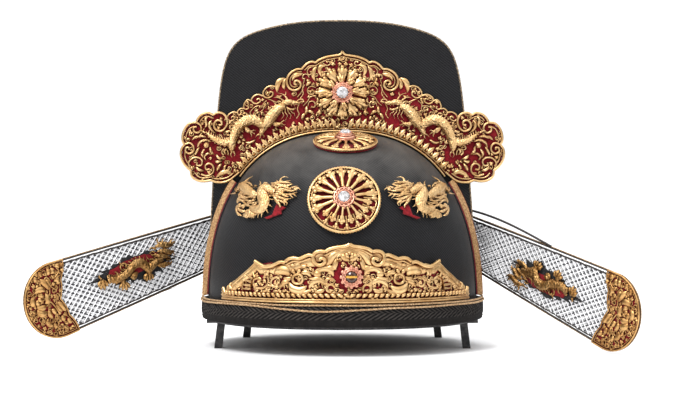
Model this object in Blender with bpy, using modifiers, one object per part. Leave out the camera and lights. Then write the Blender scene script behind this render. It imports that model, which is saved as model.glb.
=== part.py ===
"""Court official's winged cap of woven horsehair, with gilt openwork ornaments, on a plain four-legged stand.

The cap faces -Y. Lengths are in metres, +Z is up and the stand's feet are at z = 0.
The cap is worked out round the middle of its head plan, and the whole is then centred on its own box.
"""

import math

import bmesh
import bpy
from mathutils import Matrix, Vector

# Clearances
GAP = 0.0003
DRAPE_GAP = 0.0006

# Head plan and front dome, measured on the outer face of the cloth
CROWN_HALF_WIDTH = 0.088
CROWN_HALF_LENGTH = 0.091
PLAN_POWER = 2.15
CLOTH_WALL = 0.0012
CROWN_FOOT_Z = 0.022
RIDGE_Z = 0.1405
DOME_SIDE_POWER = 2.45
DOME_FRONT_POWER = 3.55
DOME_FALL = 0.15
SEAM_GAP = 0.0007

# Tall rear crown
HOOD_TOP_Z = 0.2137
HOOD_TOP_HALF_WIDTH = 0.0752
HOOD_TAPER_POWER = 1.5
HOOD_LEAN = -0.0075
HOOD_CORNER_POWER = 14
HOOD_ARCH = 0.0158
HOOD_ARCH_POWER = 2.5
HOOD_BACK_SHARE = 0.62
HOOD_BACK_POWER = 2.6
PASSAGE_MARGIN = 0.0024
EDGE_WIRE_RADIUS = 0.0006
EDGE_WIRE_START_Z = 0.078

# Head band and its two cords
BAND_BOTTOM_Z = 0.0185
BAND_TOP_Z = 0.0315
BAND_THICKNESS = 0.0044
CORD_RADIUS = 0.0007

# Gilt tape over the seam of the two crowns
TAPE_WIDTH = 0.005
TAPE_THICKNESS = 0.001
TAPE_END_Z = 0.107
TAPE_CLEARANCE = 0.0032

# Felt and gilt sheet, and how often a flat pattern is cut so that it bends over the dome
FELT = 0.001
GILT = 0.001
BEND = 0.0125

# Crest, from the ridge up
CREST_TOP_Z = 0.1942
CREST_HALF_SPAN = 0.1066
CREST_ARC_CLEARANCE = 0.0008
CREST_FOOT_Z = 0.1105
CREST_FELT_MARGIN = 0.0012
ROSETTE_RADIUS = 0.018
ROSETTE_Z = 0.1669
ROSETTE_PETALS = 10
ROSETTE_STONE_SCALE = 0.91
CREST_DRAGON_LENGTH = 0.058
CREST_DRAGON_X = CREST_HALF_SPAN * 0.488
CREST_DRAGON_Z = CREST_FOOT_Z + (CREST_TOP_Z - CREST_FOOT_Z) * 0.418
CREST_DRAGON_LEAN = math.radians(24)
CREST_FRONT_LAYER = GAP * 3 + FELT + GILT

# Round medallions and settings
FRONT_MEDALLION_RADIUS = 0.0236
FRONT_MEDALLION_X = 0.001
FRONT_MEDALLION_Z = 0.0977
TOP_MEDALLION_RADIUS = 0.0212
TOP_MEDALLION_X = 0.0019
TOP_MEDALLION_Y = -0.0385
TOP_COLLAR = 0.0026
MEDALLION_RIM = 0.003
RIM_STEP = 0.0004
COLLET_RADIUS = 0.0091
COLLET_HEIGHT = 0.0022
COLLET_LIP = 0.0006
STONE_RADIUS = 0.0048
STONE_HEIGHT = 0.0042
FRONT_PETALS = 20
TOP_PETALS = 12

# Brow plaque, along the foot of the dome
BROW_X = 0.0045
BROW_BOTTOM_Z = 0.0332
BROW_HEIGHT = 0.0364
BROW_HALF_LENGTH = 0.093
BROW_STONE_HEIGHT = 0.0165
BROW_STONE_SCALE = 0.85
BROW_FELT_MARGIN = 0.0006

# Cast dragons: stations along the body, and the pair on the dome
DRAGON_STATIONS = 8
DOME_DRAGON_LENGTH = 0.052
DOME_DRAGON_X = 0.047
DOME_DRAGON_Z = 0.0965
DOME_DRAGON_TILT = math.radians(6)

# Side wings: both have one shape, and each stands at its own height, sweep and droop
WING_LENGTH = 0.197
WING_DROOP_LEFT = math.radians(15.7)
WING_DROOP_RIGHT = math.radians(16.8)
WING_SWEEP_LEFT = math.radians(39.0)
WING_SWEEP_RIGHT = math.radians(52.3)
WING_ROOT_Z_LEFT = 0.0785
WING_ROOT_Z_RIGHT = 0.0767
WING_ROOT_HALF_WIDTH = 0.0144
WING_END_RADIUS = 0.0247
WING_WIRE_RADIUS = 0.0009
WING_NET_THICKNESS = 0.0008
WING_TIP_LENGTH = 0.0355
WING_TIP_NOTCH = 0.008
WING_TIP_GAPS = 6
WING_DRAGON_LENGTH = 0.072
WING_DRAGON_FROM_TIP = 0.088

# Stand
HOOP_THICKNESS = 0.003
HOOP_HEIGHT = 0.009
HOOP_CLEARANCE = 0.0018
LEG_WIDTH = 0.006
LEG_DEPTH = 0.005
LEG_SPLAY = 0.0025
FRONT_LEG_Y = -0.027
REAR_LEG_Y = 0.055
LEDGE_THICKNESS = 0.0016

QUARTER = math.pi / 2


# Collections, materials and small mesh helpers

def clear_scene():
    """Remove every object that the scene starts with."""
    for item in list(bpy.data.objects):
        bpy.data.objects.remove(item, do_unlink=True)


def new_collection(name):
    """Return a new collection linked to the scene."""
    made = bpy.data.collections.new(name)
    bpy.context.scene.collection.children.link(made)
    return made


def finish(name, colour, roughness, metallic):
    """Return a material with the piece's colour, roughness and metallic value."""
    made = bpy.data.materials.new(name)
    made.use_nodes = True
    shader = made.node_tree.nodes["Principled BSDF"]
    shader.inputs["Base Color"].default_value = (*colour, 1)
    shader.inputs["Roughness"].default_value = roughness
    shader.inputs["Metallic"].default_value = metallic
    return made


clear_scene()
CAP = new_collection("mandarin_cap")
HORSEHAIR = finish("woven_horsehair", (0.022, 0.022, 0.024), 0.75, 0.0)
BRAID = finish("black_braid", (0.015, 0.014, 0.014), 0.8, 0.0)
GILT_METAL = finish("gilt_metal", (0.72, 0.43, 0.17), 0.32, 1.0)
OLD_GILT = finish("old_gilt", (0.45, 0.24, 0.08), 0.4, 1.0)
GOLD_CORD = finish("gold_cord", (0.50, 0.31, 0.12), 0.5, 0.6)
BRASS_WIRE = finish("brass_wire", (0.55, 0.38, 0.16), 0.35, 1.0)
RED_FELT = finish("red_felt", (0.30, 0.012, 0.02), 0.95, 0.0)
CRYSTAL = finish("setting_with_stone", (0.80, 0.55, 0.45), 0.2, 0.3)
GAUZE = finish("wing_gauze", (0.30, 0.31, 0.33), 0.7, 0.0)
DARK_STEEL = finish("dark_steel", (0.03, 0.03, 0.033), 0.45, 0.8)


def add_object(name, data, material):
    """Link new data to the cap's collection under the piece's name."""
    made = bpy.data.objects.new(name, data)
    CAP.objects.link(made)
    data.materials.clear()
    data.materials.append(material)
    return made


def evaluated_mesh(source, weld=1e-6):
    """Return a curve or modified object's mesh with its caps welded, and remove the object."""
    graph = bpy.context.evaluated_depsgraph_get()
    mesh = bpy.data.meshes.new_from_object(source.evaluated_get(graph))
    shape = bmesh.new()
    shape.from_mesh(mesh)
    bmesh.ops.remove_doubles(shape, verts=shape.verts, dist=weld)
    bmesh.ops.transform(shape, matrix=source.matrix_world, verts=shape.verts)
    shape.to_mesh(mesh)
    shape.free()
    bpy.data.objects.remove(source, do_unlink=True)
    return mesh


def smooth(thing, angle=40):
    """Shade a round piece smooth, with its sharp edges kept."""
    thing.data.shade_smooth()
    thing.data.set_sharp_from_angle(angle=math.radians(angle))


def mapped_grid(name, columns, rows, place, material, wall=0.0):
    """Lay a grid of columns by rows on the surface that place(u, v) gives, u and v from 0 to 1."""
    shape = bmesh.new()
    bmesh.ops.create_grid(shape, x_segments=columns, y_segments=rows, size=0.5)
    for vertex in shape.verts:
        vertex.co = place(vertex.co.x + 0.5, vertex.co.y + 0.5)
    bmesh.ops.remove_doubles(shape, verts=shape.verts, dist=1e-5)
    bmesh.ops.recalc_face_normals(shape, faces=shape.faces)
    mesh = bpy.data.meshes.new(name)
    shape.to_mesh(mesh)
    shape.free()
    made = add_object(name, mesh, material)
    if wall:
        shell = made.modifiers.new("wall", "SOLIDIFY")
        shell.thickness = wall
        shell.offset = -1
        shell.use_even_offset = True
    smooth(made)
    return made


def wire(name, points, radius, material, cyclic=False, sides=1):
    """Run a round wire through points, as a closed mesh."""
    curve = bpy.data.curves.new(name, "CURVE")
    curve.dimensions = "3D"
    curve.bevel_depth = radius
    curve.bevel_resolution = sides
    curve.use_fill_caps = not cyclic
    spline = curve.splines.new("POLY")
    spline.points.add(len(points) - 1)
    for knot, point in zip(spline.points, points):
        knot.co = (*point, 1)
    spline.use_cyclic_u = cyclic
    source = bpy.data.objects.new(name, curve)
    CAP.objects.link(source)
    made = add_object(name, evaluated_mesh(source), material)
    smooth(made)
    return made


def sheet_mesh(outlines, thickness, bottom=0.0):
    """Cut a flat sheet to the first outline, pierce it with the others, and rest it at a height."""
    curve = bpy.data.curves.new("sheet", "CURVE")
    curve.dimensions = "2D"
    curve.fill_mode = "BOTH"
    curve.extrude = thickness / 2
    for outline in outlines:
        spline = curve.splines.new("POLY")
        spline.points.add(len(outline) - 1)
        for knot, (x, y) in zip(spline.points, outline):
            knot.co = (x, y, 0, 1)
        spline.use_cyclic_u = True
    source = bpy.data.objects.new("sheet", curve)
    CAP.objects.link(source)
    source.location.z = bottom + thickness / 2
    bpy.context.view_layer.update()
    return evaluated_mesh(source)


def split(mesh, across=None, up=None):
    """Cut a flat mesh at an even spacing across (X) and up (Y), so that it can bend, into triangles."""
    shape = bmesh.new()
    shape.from_mesh(mesh)
    bmesh.ops.dissolve_limit(shape, angle_limit=math.radians(1), verts=shape.verts, edges=shape.edges)
    for index, spacing in ((0, across), (1, up)):
        if not spacing:
            continue
        low = min(vertex.co[index] for vertex in shape.verts)
        high = max(vertex.co[index] for vertex in shape.verts)
        cuts = max(1, round((high - low) / spacing))
        for cut in range(1, cuts):
            point = Vector((0, 0, 0))
            point[index] = low + (high - low) * cut / cuts
            normal = Vector((0, 0, 0))
            normal[index] = 1
            everything = shape.verts[:] + shape.edges[:] + shape.faces[:]
            bmesh.ops.bisect_plane(shape, geom=everything, plane_co=point, plane_no=normal, dist=1e-6)
    bmesh.ops.triangulate(shape, faces=shape.faces)
    shape.to_mesh(mesh)
    shape.free()
    return mesh


def place_mesh(mesh, place):
    """Move each point (x, y, height) of a pattern to its place on the cap."""
    for vertex in mesh.vertices:
        vertex.co = place(*vertex.co)
    shape = bmesh.new()
    shape.from_mesh(mesh)
    bmesh.ops.recalc_face_normals(shape, faces=shape.faces)
    shape.to_mesh(mesh)
    shape.free()
    mesh.update()
    return mesh


def join_solids(first, others):
    """Join closed meshes into the first by Boolean unions, and return the joined mesh."""
    base = bpy.data.objects.new("joined", first)
    CAP.objects.link(base)
    for mesh in others:
        tool = bpy.data.objects.new("tool", mesh)
        CAP.objects.link(tool)
        union = base.modifiers.new("union", "BOOLEAN")
        union.operation = "UNION"
        union.object = tool
        bpy.context.view_layer.update()
        graph = bpy.context.evaluated_depsgraph_get()
        joined = bpy.data.meshes.new_from_object(base.evaluated_get(graph))
        base.modifiers.clear()
        base.data = joined
        bpy.data.objects.remove(tool, do_unlink=True)
    result = base.data
    bpy.data.objects.remove(base, do_unlink=True)
    return result


def turned_mesh(profile, steps):
    """Turn a profile of (radius, height) points round Z; it starts and ends on the axis, top first."""
    mesh = bpy.data.meshes.new("profile")
    points = [(radius, 0, height) for radius, height in profile]
    mesh.from_pydata(points, [(index, index + 1) for index in range(len(points) - 1)], [])
    source = bpy.data.objects.new("profile", mesh)
    CAP.objects.link(source)
    screw = source.modifiers.new("turn", "SCREW")
    screw.steps = steps
    screw.render_steps = steps
    screw.use_merge_vertices = True
    screw.merge_threshold = 1e-5
    bpy.context.view_layer.update()
    return evaluated_mesh(source)


def smooth_path(points, count):
    """Return count points along a smooth curve through the given ones."""
    knots = [Vector(point) for point in points]
    knots = [2 * knots[0] - knots[1], *knots, 2 * knots[-1] - knots[-2]]
    spans = len(knots) - 3
    path = []
    for step in range(count):
        at = min(step / (count - 1) * spans, spans - 1e-9)
        index = int(at)
        t = at - index
        a, b, c, d = knots[index:index + 4]
        path.append(0.5 * (2 * b + (c - a) * t + (2 * a - 5 * b + 4 * c - d) * t * t
                           + (3 * b - a - 3 * c + d) * t ** 3))
    return path


# Shapes of the head plan, the dome and the rear crown

def signed_power(value, power):
    """Raise a number's size to a power and keep its sign."""
    return math.copysign(abs(value) ** power, value)


def plan_point(turn, margin=0.0):
    """Point of the head plan; a turn of 0 faces the front and a quarter turn the wearer's left, +X."""
    x = signed_power(math.sin(turn), 2 / PLAN_POWER) * (CROWN_HALF_WIDTH + margin)
    y = -signed_power(math.cos(turn), 2 / PLAN_POWER) * (CROWN_HALF_LENGTH + margin)
    return Vector((x, y))


def dome_power(x, y):
    """How square the dome stands in the direction of a point, from the sides to the front."""
    turn = math.atan2(abs(x) / CROWN_HALF_WIDTH, max(-y, 1e-9) / CROWN_HALF_LENGTH)
    return DOME_SIDE_POWER + (DOME_FRONT_POWER - DOME_SIDE_POWER) * math.cos(turn) ** 2


def dome_height(y):
    """Height of the dome over its foot, which falls towards the front."""
    return RIDGE_Z - CROWN_FOOT_Z + DOME_FALL * min(y, 0)


def dome_point(turn, rise):
    """Point of the dome's outer face; rise goes from 0 at the foot to a quarter turn at the ridge."""
    plan = plan_point(turn)
    power = dome_power(*plan)
    reach = max(math.cos(rise), 0) ** (2 / power)
    lift = math.sin(rise) ** (2 / power)
    x, y = plan * reach
    return Vector((x, min(y, 0) - SEAM_GAP, CROWN_FOOT_Z + dome_height(y) * lift))


def dome_value(point):
    """Below 1 inside the dome, 1 on its face and more outside."""
    x, y, z = point
    y += SEAM_GAP
    power = dome_power(x, y)
    spread = (abs(x) / CROWN_HALF_WIDTH) ** PLAN_POWER + (abs(y) / CROWN_HALF_LENGTH) ** PLAN_POWER
    reach = spread ** (1 / PLAN_POWER)
    return reach ** power + (max(z - CROWN_FOOT_Z, 0) / dome_height(y)) ** power


def dome_normal(point):
    """Outward direction of the dome's face at a point."""
    step = 1e-5
    slope = []
    for axis in range(3):
        ahead = point.copy()
        ahead[axis] += step
        behind = point.copy()
        behind[axis] -= step
        slope.append(dome_value(ahead) - dome_value(behind))
    return Vector(slope).normalized()


def meet_dome(point, direction, reach=0.03):
    """Slide a point along a direction until it meets the dome's face."""
    outer = reach
    inner = -reach
    for _ in range(40):
        middle = (outer + inner) / 2
        if dome_value(point + direction * middle) > 1:
            outer = middle
        else:
            inner = middle
    return point + direction * outer


def dome_seat(point, tilt=0.0):
    """Return a place function that lays a flat pattern on the dome, centred near a point."""
    centre = point
    normal = dome_normal(centre)
    across = Vector((0, 0, 1)).cross(normal).normalized()
    up = normal.cross(across)
    along = across * math.cos(tilt) + up * math.sin(tilt)
    up = up * math.cos(tilt) - across * math.sin(tilt)

    def place(x, y, height):
        on_face = meet_dome(centre + along * x + up * y, normal)
        return on_face + normal * height

    return place


def front_centre(x, z):
    """Point of the dome's front at a place across and a height."""
    return meet_dome(Vector((x, -CROWN_HALF_LENGTH / 2, z)), Vector((0, -1, 0)), CROWN_HALF_LENGTH / 2)


def arch_point(turn, margin=0.0):
    """Point (x, z) of the dome's arch at the seam; turns run from 0 at the left foot to a half turn."""
    x = -signed_power(math.cos(turn), 2 / DOME_SIDE_POWER) * (CROWN_HALF_WIDTH + margin)
    lift = max(math.sin(turn), 0) ** (2 / DOME_SIDE_POWER)
    return Vector((x, CROWN_FOOT_Z + (RIDGE_Z - CROWN_FOOT_Z + margin) * lift))


def hood_half_width(z):
    """Half width of the rear crown at a height."""
    share = max(z - CROWN_FOOT_Z, 0) / (HOOD_TOP_Z - CROWN_FOOT_Z)
    return CROWN_HALF_WIDTH - (CROWN_HALF_WIDTH - HOOD_TOP_HALF_WIDTH) * share ** HOOD_TAPER_POWER


def hood_shift(z):
    """How far the rear crown leans to the side at a height."""
    return HOOD_LEAN * max(z - CROWN_FOOT_Z, 0)


def hood_outline(share):
    """Point (x, z) of the rear crown's front outline, from the left foot over the top to the right foot."""
    side = share * 2 - 1
    away = 1 - abs(side)
    near_corner = (away - 0.5) * 2
    angle = math.pi / 4 * (1 + signed_power(near_corner, 1.5))
    across = max(math.cos(angle), 0)
    up = math.sin(angle)
    spread = (across ** HOOD_CORNER_POWER + up ** HOOD_CORNER_POWER) ** (1 / HOOD_CORNER_POWER)
    across /= spread
    up /= spread
    height = HOOD_TOP_Z - CROWN_FOOT_Z - HOOD_ARCH * across ** HOOD_ARCH_POWER
    z = CROWN_FOOT_Z + height * up
    return Vector((math.copysign(across, side) * hood_half_width(z) + hood_shift(z), z))


# The cloth body of the cap

def make_front_crown():
    """Low front dome, open below and behind."""
    def place(u, v):
        return dome_point((u * 2 - 1) * QUARTER, v * QUARTER)

    return mapped_grid("front_crown", 20, 8, place, HORSEHAIR, CLOTH_WALL)


def make_rear_crown():
    """Tall rear crown: a front panel round the passage to the dome, and a rounded back."""
    depths = 8
    columns = 24

    def place(u, v):
        row = round(v * (depths + 1))
        x, z = hood_outline(u)
        if row == 0:
            x, z = arch_point(u * math.pi, -PASSAGE_MARGIN)
            return Vector((x, 0, z))
        turn = QUARTER * (1 + (row - 1) / depths)
        across, back = plan_point(turn)
        narrow = across / CROWN_HALF_WIDTH
        deep = max(back / CROWN_HALF_LENGTH, 0)
        round_off = max(1 - deep ** HOOD_BACK_POWER, 0) ** (1 / HOOD_BACK_POWER)
        low = HOOD_BACK_SHARE + (1 - HOOD_BACK_SHARE) * round_off
        return Vector((x * narrow, back, CROWN_FOOT_Z + (z - CROWN_FOOT_Z) * low))

    return mapped_grid("rear_crown", columns, depths + 1, place, HORSEHAIR, CLOTH_WALL)


def make_head_band():
    """Padded band round the foot of both crowns."""
    middle = (BAND_TOP_Z + BAND_BOTTOM_Z) / 2
    half_height = (BAND_TOP_Z - BAND_BOTTOM_Z) / 2
    half_depth = BAND_THICKNESS / 2

    def place(u, v):
        angle = v * math.tau + math.pi / 6
        out = GAP * 2 + half_depth + signed_power(math.cos(angle), 0.6) * half_depth
        x, y = plan_point(u * math.tau, out)
        return Vector((x, y, middle + signed_power(math.sin(angle), 0.6) * half_height))

    return mapped_grid("head_band", 40, 6, place, BRAID)


def make_band_cords():
    """Two gold cords that wander round the rounded upper edge of the band."""
    count = 34
    # Columns: name, distance out and height as shares of the band's thickness and height, sway, phase.
    for name, out, up, sway, phase in (("upper", 0.86, 0.055, 0.0004, 0.0), ("lower", 1.25, -0.17, 0.0007, 1.9)):
        points = []
        for index in range(count):
            turn = index / count * math.tau
            x, y = plan_point(turn, GAP * 2 + BAND_THICKNESS * out)
            z = BAND_TOP_Z + (BAND_TOP_Z - BAND_BOTTOM_Z) * up + sway * math.sin(turn * 5 + phase)
            points.append((x, y, z))
        wire("band_cord_" + name, points, CORD_RADIUS, GOLD_CORD, cyclic=True, sides=0)


def make_side_trim(name, side):
    """Gilt tape that slants over the seam, from the band up to the crest's end lobe."""
    steps = 12
    start = math.asin(((BAND_TOP_Z + TAPE_CLEARANCE - CROWN_FOOT_Z) / (RIDGE_Z - CROWN_FOOT_Z))
                      ** (DOME_SIDE_POWER / 2))
    end = math.asin(((TAPE_END_Z - CROWN_FOOT_Z) / (RIDGE_Z - CROWN_FOOT_Z)) ** (DOME_SIDE_POWER / 2))
    half = TAPE_WIDTH / 2

    def place(u, v):
        turn = start + (end - start) * u
        here = arch_point(turn)
        ahead = arch_point(turn + 0.01)
        run = (ahead - here).normalized()
        outward = Vector((-run.y, run.x))
        corner = ((-half, 0), (half, 0), (half, TAPE_THICKNESS), (-half, TAPE_THICKNESS))[round(v * 4) % 4]
        slant = math.sqrt(0.5)
        out = (corner[0] + corner[1]) * slant + GAP * 3 + half * slant
        forward = (-corner[0] + corner[1]) * slant + GAP * 3 + half * slant
        x, z = here + outward * out
        return Vector((-side * x, -SEAM_GAP - forward, z))

    made = mapped_grid(name, steps, 4, place, GILT_METAL)
    shape = bmesh.new()
    shape.from_mesh(made.data)
    bmesh.ops.holes_fill(shape, edges=[edge for edge in shape.edges if edge.is_boundary], sides=4)
    bmesh.ops.recalc_face_normals(shape, faces=shape.faces)
    shape.to_mesh(made.data)
    shape.free()
    return made


def make_edge_wire():
    """Thin wire sewn along the outer edge of the rear crown's front panel."""
    points = []
    count = 40
    step = 0.2 / count
    for index in range(1, count):
        share = index / count
        here = hood_outline(share)
        run = (hood_outline(share + step) - hood_outline(share - step)).normalized()
        x, z = here + Vector((-run.y, run.x)) * (EDGE_WIRE_RADIUS + GAP * 2)
        if z > EDGE_WIRE_START_Z:
            points.append((x, EDGE_WIRE_RADIUS, z))
    return wire("rear_edge_wire", points, EDGE_WIRE_RADIUS, BRASS_WIRE, sides=0)


# Openwork patterns

def ring(radius, count, phase=0.0):
    """Outline of a circle."""
    return [(radius * math.cos(phase + step * math.tau / count),
             radius * math.sin(phase + step * math.tau / count)) for step in range(count)]


def leaf_hole(centre, length, width, angle):
    """Outline of a pointed gap between two leaves."""
    shape = ((-0.5, 0), (-0.1, 0.5), (0.5, 0), (-0.1, -0.5))
    cos, sin = math.cos(angle), math.sin(angle)
    return [(centre[0] + x * length * cos - y * width * sin,
             centre[1] + x * length * sin + y * width * cos) for x, y in shape]


def along_path(points, share):
    """Point at a share of the length of a run of points."""
    lengths = [0.0]
    for first, second in zip(points, points[1:]):
        lengths.append(lengths[-1] + math.dist(first, second))
    target = share * lengths[-1]
    for index in range(1, len(points)):
        if lengths[index] >= target:
            part = (target - lengths[index - 1]) / (lengths[index] - lengths[index - 1])
            return Vector(points[index - 1]).lerp(Vector(points[index]), part)
    return Vector(points[-1])


# Half of the crest's rim, from the finial to the end lobe's foot.
# Columns: share of the half span, share of the rise from the crest's foot to the finial.
CREST_RIM = (
    (0.000, 1.000), (0.075, 0.958), (0.150, 0.925), (0.229, 0.865), (0.290, 0.840), (0.350, 0.790),
    (0.400, 0.765), (0.451, 0.705), (0.505, 0.685), (0.555, 0.632), (0.605, 0.600), (0.648, 0.545),
    (0.700, 0.515), (0.745, 0.490), (0.810, 0.492), (0.872, 0.472), (0.925, 0.430), (0.965, 0.365),
    (1.000, 0.262), (0.992, 0.155), (0.955, 0.065), (0.890, -0.005), (0.800, -0.035), (0.730, -0.020),
)


def crest_half():
    """Return the crest's right half: its lower arc from the middle out, and its rim from the finial down."""
    arc = []
    steps = 11
    end = math.asin(((CREST_FOOT_Z - CROWN_FOOT_Z) / (RIDGE_Z - CROWN_FOOT_Z)) ** (DOME_SIDE_POWER / 2))
    for step in range(steps + 1):
        turn = QUARTER + (QUARTER - end) * step / steps
        x, z = arch_point(turn, CREST_ARC_CLEARANCE)
        arc.append((x, z))
    rise = CREST_TOP_Z - CREST_FOOT_Z
    rim = [(across * CREST_HALF_SPAN, CREST_FOOT_Z + up * rise) for across, up in CREST_RIM]
    return arc, rim


def mirrored(points):
    """The same points on the other side, in the opposite order."""
    return [(-x, y) for x, y in reversed(points)]


def crest_outlines():
    """Rim of the crest and the gaps between its scrolls."""
    arc, rim = crest_half()
    right = rim + list(reversed(arc))
    outline = right + mirrored(right)[1:-1]
    holes = []
    # Columns: share from the inner arc to the rim, gaps a side, length and width as shares of the half span,
    # first and last share, slant.
    rows = ((0.13, 9, 0.040, 0.017, 0.05, 0.97, 1.2),
            (0.44, 7, 0.080, 0.032, 0.30, 0.96, 0.5),
            (0.76, 7, 0.075, 0.028, 0.22, 0.95, -0.4))
    for depth, count, length, width, first, last, slant in rows:
        for index in range(count):
            share = first + (last - first) * index / (count - 1)
            inner = along_path(arc, share)
            outer = along_path(rim, share * 0.93)
            centre = inner.lerp(outer, depth)
            way = (outer - inner).normalized()
            angle = math.atan2(way.y, way.x) + slant
            hole = leaf_hole(centre, length * CREST_HALF_SPAN, width * CREST_HALF_SPAN, angle)
            holes.append(hole)
            holes.append([(-x, y) for x, y in reversed(hole)])
    return outline, holes


def crest_place(layer):
    """Stand a pattern in front of the rear crown's panel, with its back on a layer."""
    def place(x, y, height):
        return Vector((x, -layer - height, y))

    return place


def make_crest():
    """Arched crest: felt backing and pierced plaque."""
    outline, holes = crest_outlines()
    felt_outline = inset(outline, CREST_FELT_MARGIN)
    felt_mesh = place_mesh(sheet_mesh([felt_outline], FELT), crest_place(GAP))
    add_object("crest_felt", felt_mesh, RED_FELT)
    plaque = sheet_mesh([outline, *holes], GILT)
    add_object("crest_plaque", place_mesh(plaque, crest_place(GAP * 2 + FELT)), GILT_METAL)


def inset(outline, margin):
    """Move a closed outline inwards by a margin."""
    area = sum(x1 * y2 - x2 * y1 for (x1, y1), (x2, y2) in zip(outline, outline[1:] + outline[:1]))
    way = 1 if area > 0 else -1
    moved = []
    count = len(outline)
    for index, point in enumerate(outline):
        before = Vector(outline[index - 1])
        after = Vector(outline[(index + 1) % count])
        run = (after - before).normalized()
        moved.append((point[0] - way * run.y * margin, point[1] + way * run.x * margin))
    return moved


# Rosettes, medallions and settings

def setting_mesh(bottom, scale=1.0, collar=0.0):
    """Collet with its faceted stone, turned as one solid: table, crown, girdle, collar and collet."""
    stone = STONE_RADIUS * scale
    collet = COLLET_RADIUS * scale
    top = bottom + collar + STONE_HEIGHT * scale
    rim = bottom + COLLET_HEIGHT * scale
    profile = ((0, top), (stone * 0.55, top), (stone, top - STONE_HEIGHT * scale * 0.35),
               (stone * 1.12, rim + collar), (collet, rim - COLLET_LIP * scale), (collet, bottom), (0, bottom))
    return turned_mesh(profile, 12)


def petal_outline(outer, valley, count):
    """Outline of a flower with pointed petals."""
    outline = []
    for petal in range(count):
        for share, radius in ((0.0, valley), (0.3, outer * 0.94), (0.5, outer), (0.7, outer * 0.94)):
            angle = (petal + share) * math.tau / count
            outline.append((radius * math.cos(angle), radius * math.sin(angle)))
    return outline


def make_rosette():
    """Gold flower with its collet and stone, in front of the crest."""
    flower = sheet_mesh([petal_outline(ROSETTE_RADIUS, ROSETTE_RADIUS * 0.62, ROSETTE_PETALS)], GILT * 2)
    joined = join_solids(flower, [setting_mesh(GILT * 1.5, ROSETTE_STONE_SCALE)])
    stand = crest_place(CREST_FRONT_LAYER)

    def place(x, y, height):
        return stand(x, y + ROSETTE_Z, height)

    add_object("crest_rosette", place_mesh(joined, place), GILT_METAL)


def medallion_outlines(radius, petals, hub):
    """Rim of a round medallion and the gaps between its petals."""
    holes = []
    for petal in range(petals):
        middle = (petal + 0.5) * math.tau / petals
        spread = math.pi / petals
        hole = []
        for distance, side in ((hub, 0.24), (radius - MEDALLION_RIM, 0.62),
                               (radius - MEDALLION_RIM, -0.62), (hub, -0.24)):
            angle = middle + side * spread
            hole.append((distance * math.cos(angle), distance * math.sin(angle)))
        holes.append(hole)
    return ring(radius, petals * 2), holes


def make_medallion(name, radius, petals, point, collar=0.0):
    """Round medallion: felt, pierced sheet with a raised rim, and a collet with its stone."""
    seat = dome_seat(point)
    felt = sheet_mesh([ring(radius - FELT, 24)], FELT, DRAPE_GAP)
    add_object(name + "_medallion_felt", place_mesh(split(felt, BEND, BEND), seat), RED_FELT)
    outline, holes = medallion_outlines(radius, petals, COLLET_RADIUS * 1.1)
    bottom = DRAPE_GAP * 2 + FELT
    plate = sheet_mesh([outline, *holes], GILT, bottom)
    rim = sheet_mesh([ring(radius - RIM_STEP, petals), ring(radius - MEDALLION_RIM + RIM_STEP, petals)],
                     GILT * 2, bottom + GILT / 2)
    joined = join_solids(plate, [rim])
    add_object(name + "_medallion", place_mesh(split(joined, BEND * 1.5, BEND), seat), GILT_METAL)
    normal = dome_normal(point)
    stone = setting_mesh(0.0, 1.0, collar)
    base = seat(0, 0, bottom + GILT + DRAPE_GAP)
    turn = normal.to_track_quat("Z", "Y")
    add_object(name + "_stone", place_mesh(stone, lambda x, y, z: base + turn @ Vector((x, y, z))), CRYSTAL)


# Brow plaque

# Half of the brow plaque's rim, from the end to the finial.
# Columns: share of the half length, share of the height.
BROW_RIM = (
    (1.000, 0.00), (0.975, 0.10), (0.900, 0.27), (0.800, 0.42), (0.710, 0.56), (0.640, 0.70),
    (0.590, 0.63), (0.520, 0.66), (0.460, 0.63), (0.400, 0.68), (0.340, 0.69), (0.285, 0.77),
    (0.230, 0.78), (0.190, 0.87), (0.115, 0.93), (0.045, 0.945), (0.000, 1.00),
)


def brow_place(x, y, height):
    """Wrap a pattern round the dome's foot: x runs along it and y up it."""
    radius = (CROWN_HALF_WIDTH + CROWN_HALF_LENGTH) / 2
    turn = (x + BROW_X) / radius
    plan = plan_point(turn).normalized()
    level = Vector((plan.x * radius, plan.y * radius, BROW_BOTTOM_Z + y))
    on_face = meet_dome(level, Vector((plan.x, plan.y, 0)))
    return on_face + dome_normal(on_face) * height


def rim_height(half, across):
    """Height of a rim, given from its end to its middle, at a distance from the middle."""
    for (x1, y1), (x2, y2) in zip(half, half[1:]):
        if x2 <= across <= x1:
            return y2 + (y1 - y2) * (across - x2) / (x1 - x2)
    return 0.0


def brow_outlines():
    """Rim of the brow plaque and the gaps between its scrolls."""
    half = [(across * BROW_HALF_LENGTH, up * BROW_HEIGHT) for across, up in BROW_RIM]
    outline = half + mirrored(half)[1:]
    holes = []
    # Columns: share of the rim's height there, number of gaps a side, first and last share, length and width
    # as shares of the half length, slant.
    rows = ((0.38, 5, 0.16, 0.84, 0.075, 0.036, 0.5), (0.68, 4, 0.12, 0.60, 0.067, 0.032, -0.6))
    for level, count, first, last, length, width, slant in rows:
        for index in range(count):
            across = first + (last - first) * index / (count - 1)
            centre = (across * BROW_HALF_LENGTH, level * rim_height(half, across * BROW_HALF_LENGTH))
            hole = leaf_hole(centre, length * BROW_HALF_LENGTH, width * BROW_HALF_LENGTH, slant)
            holes.append(hole)
            holes.append([(-x, y) for x, y in reversed(hole)])
    return outline, holes


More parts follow.
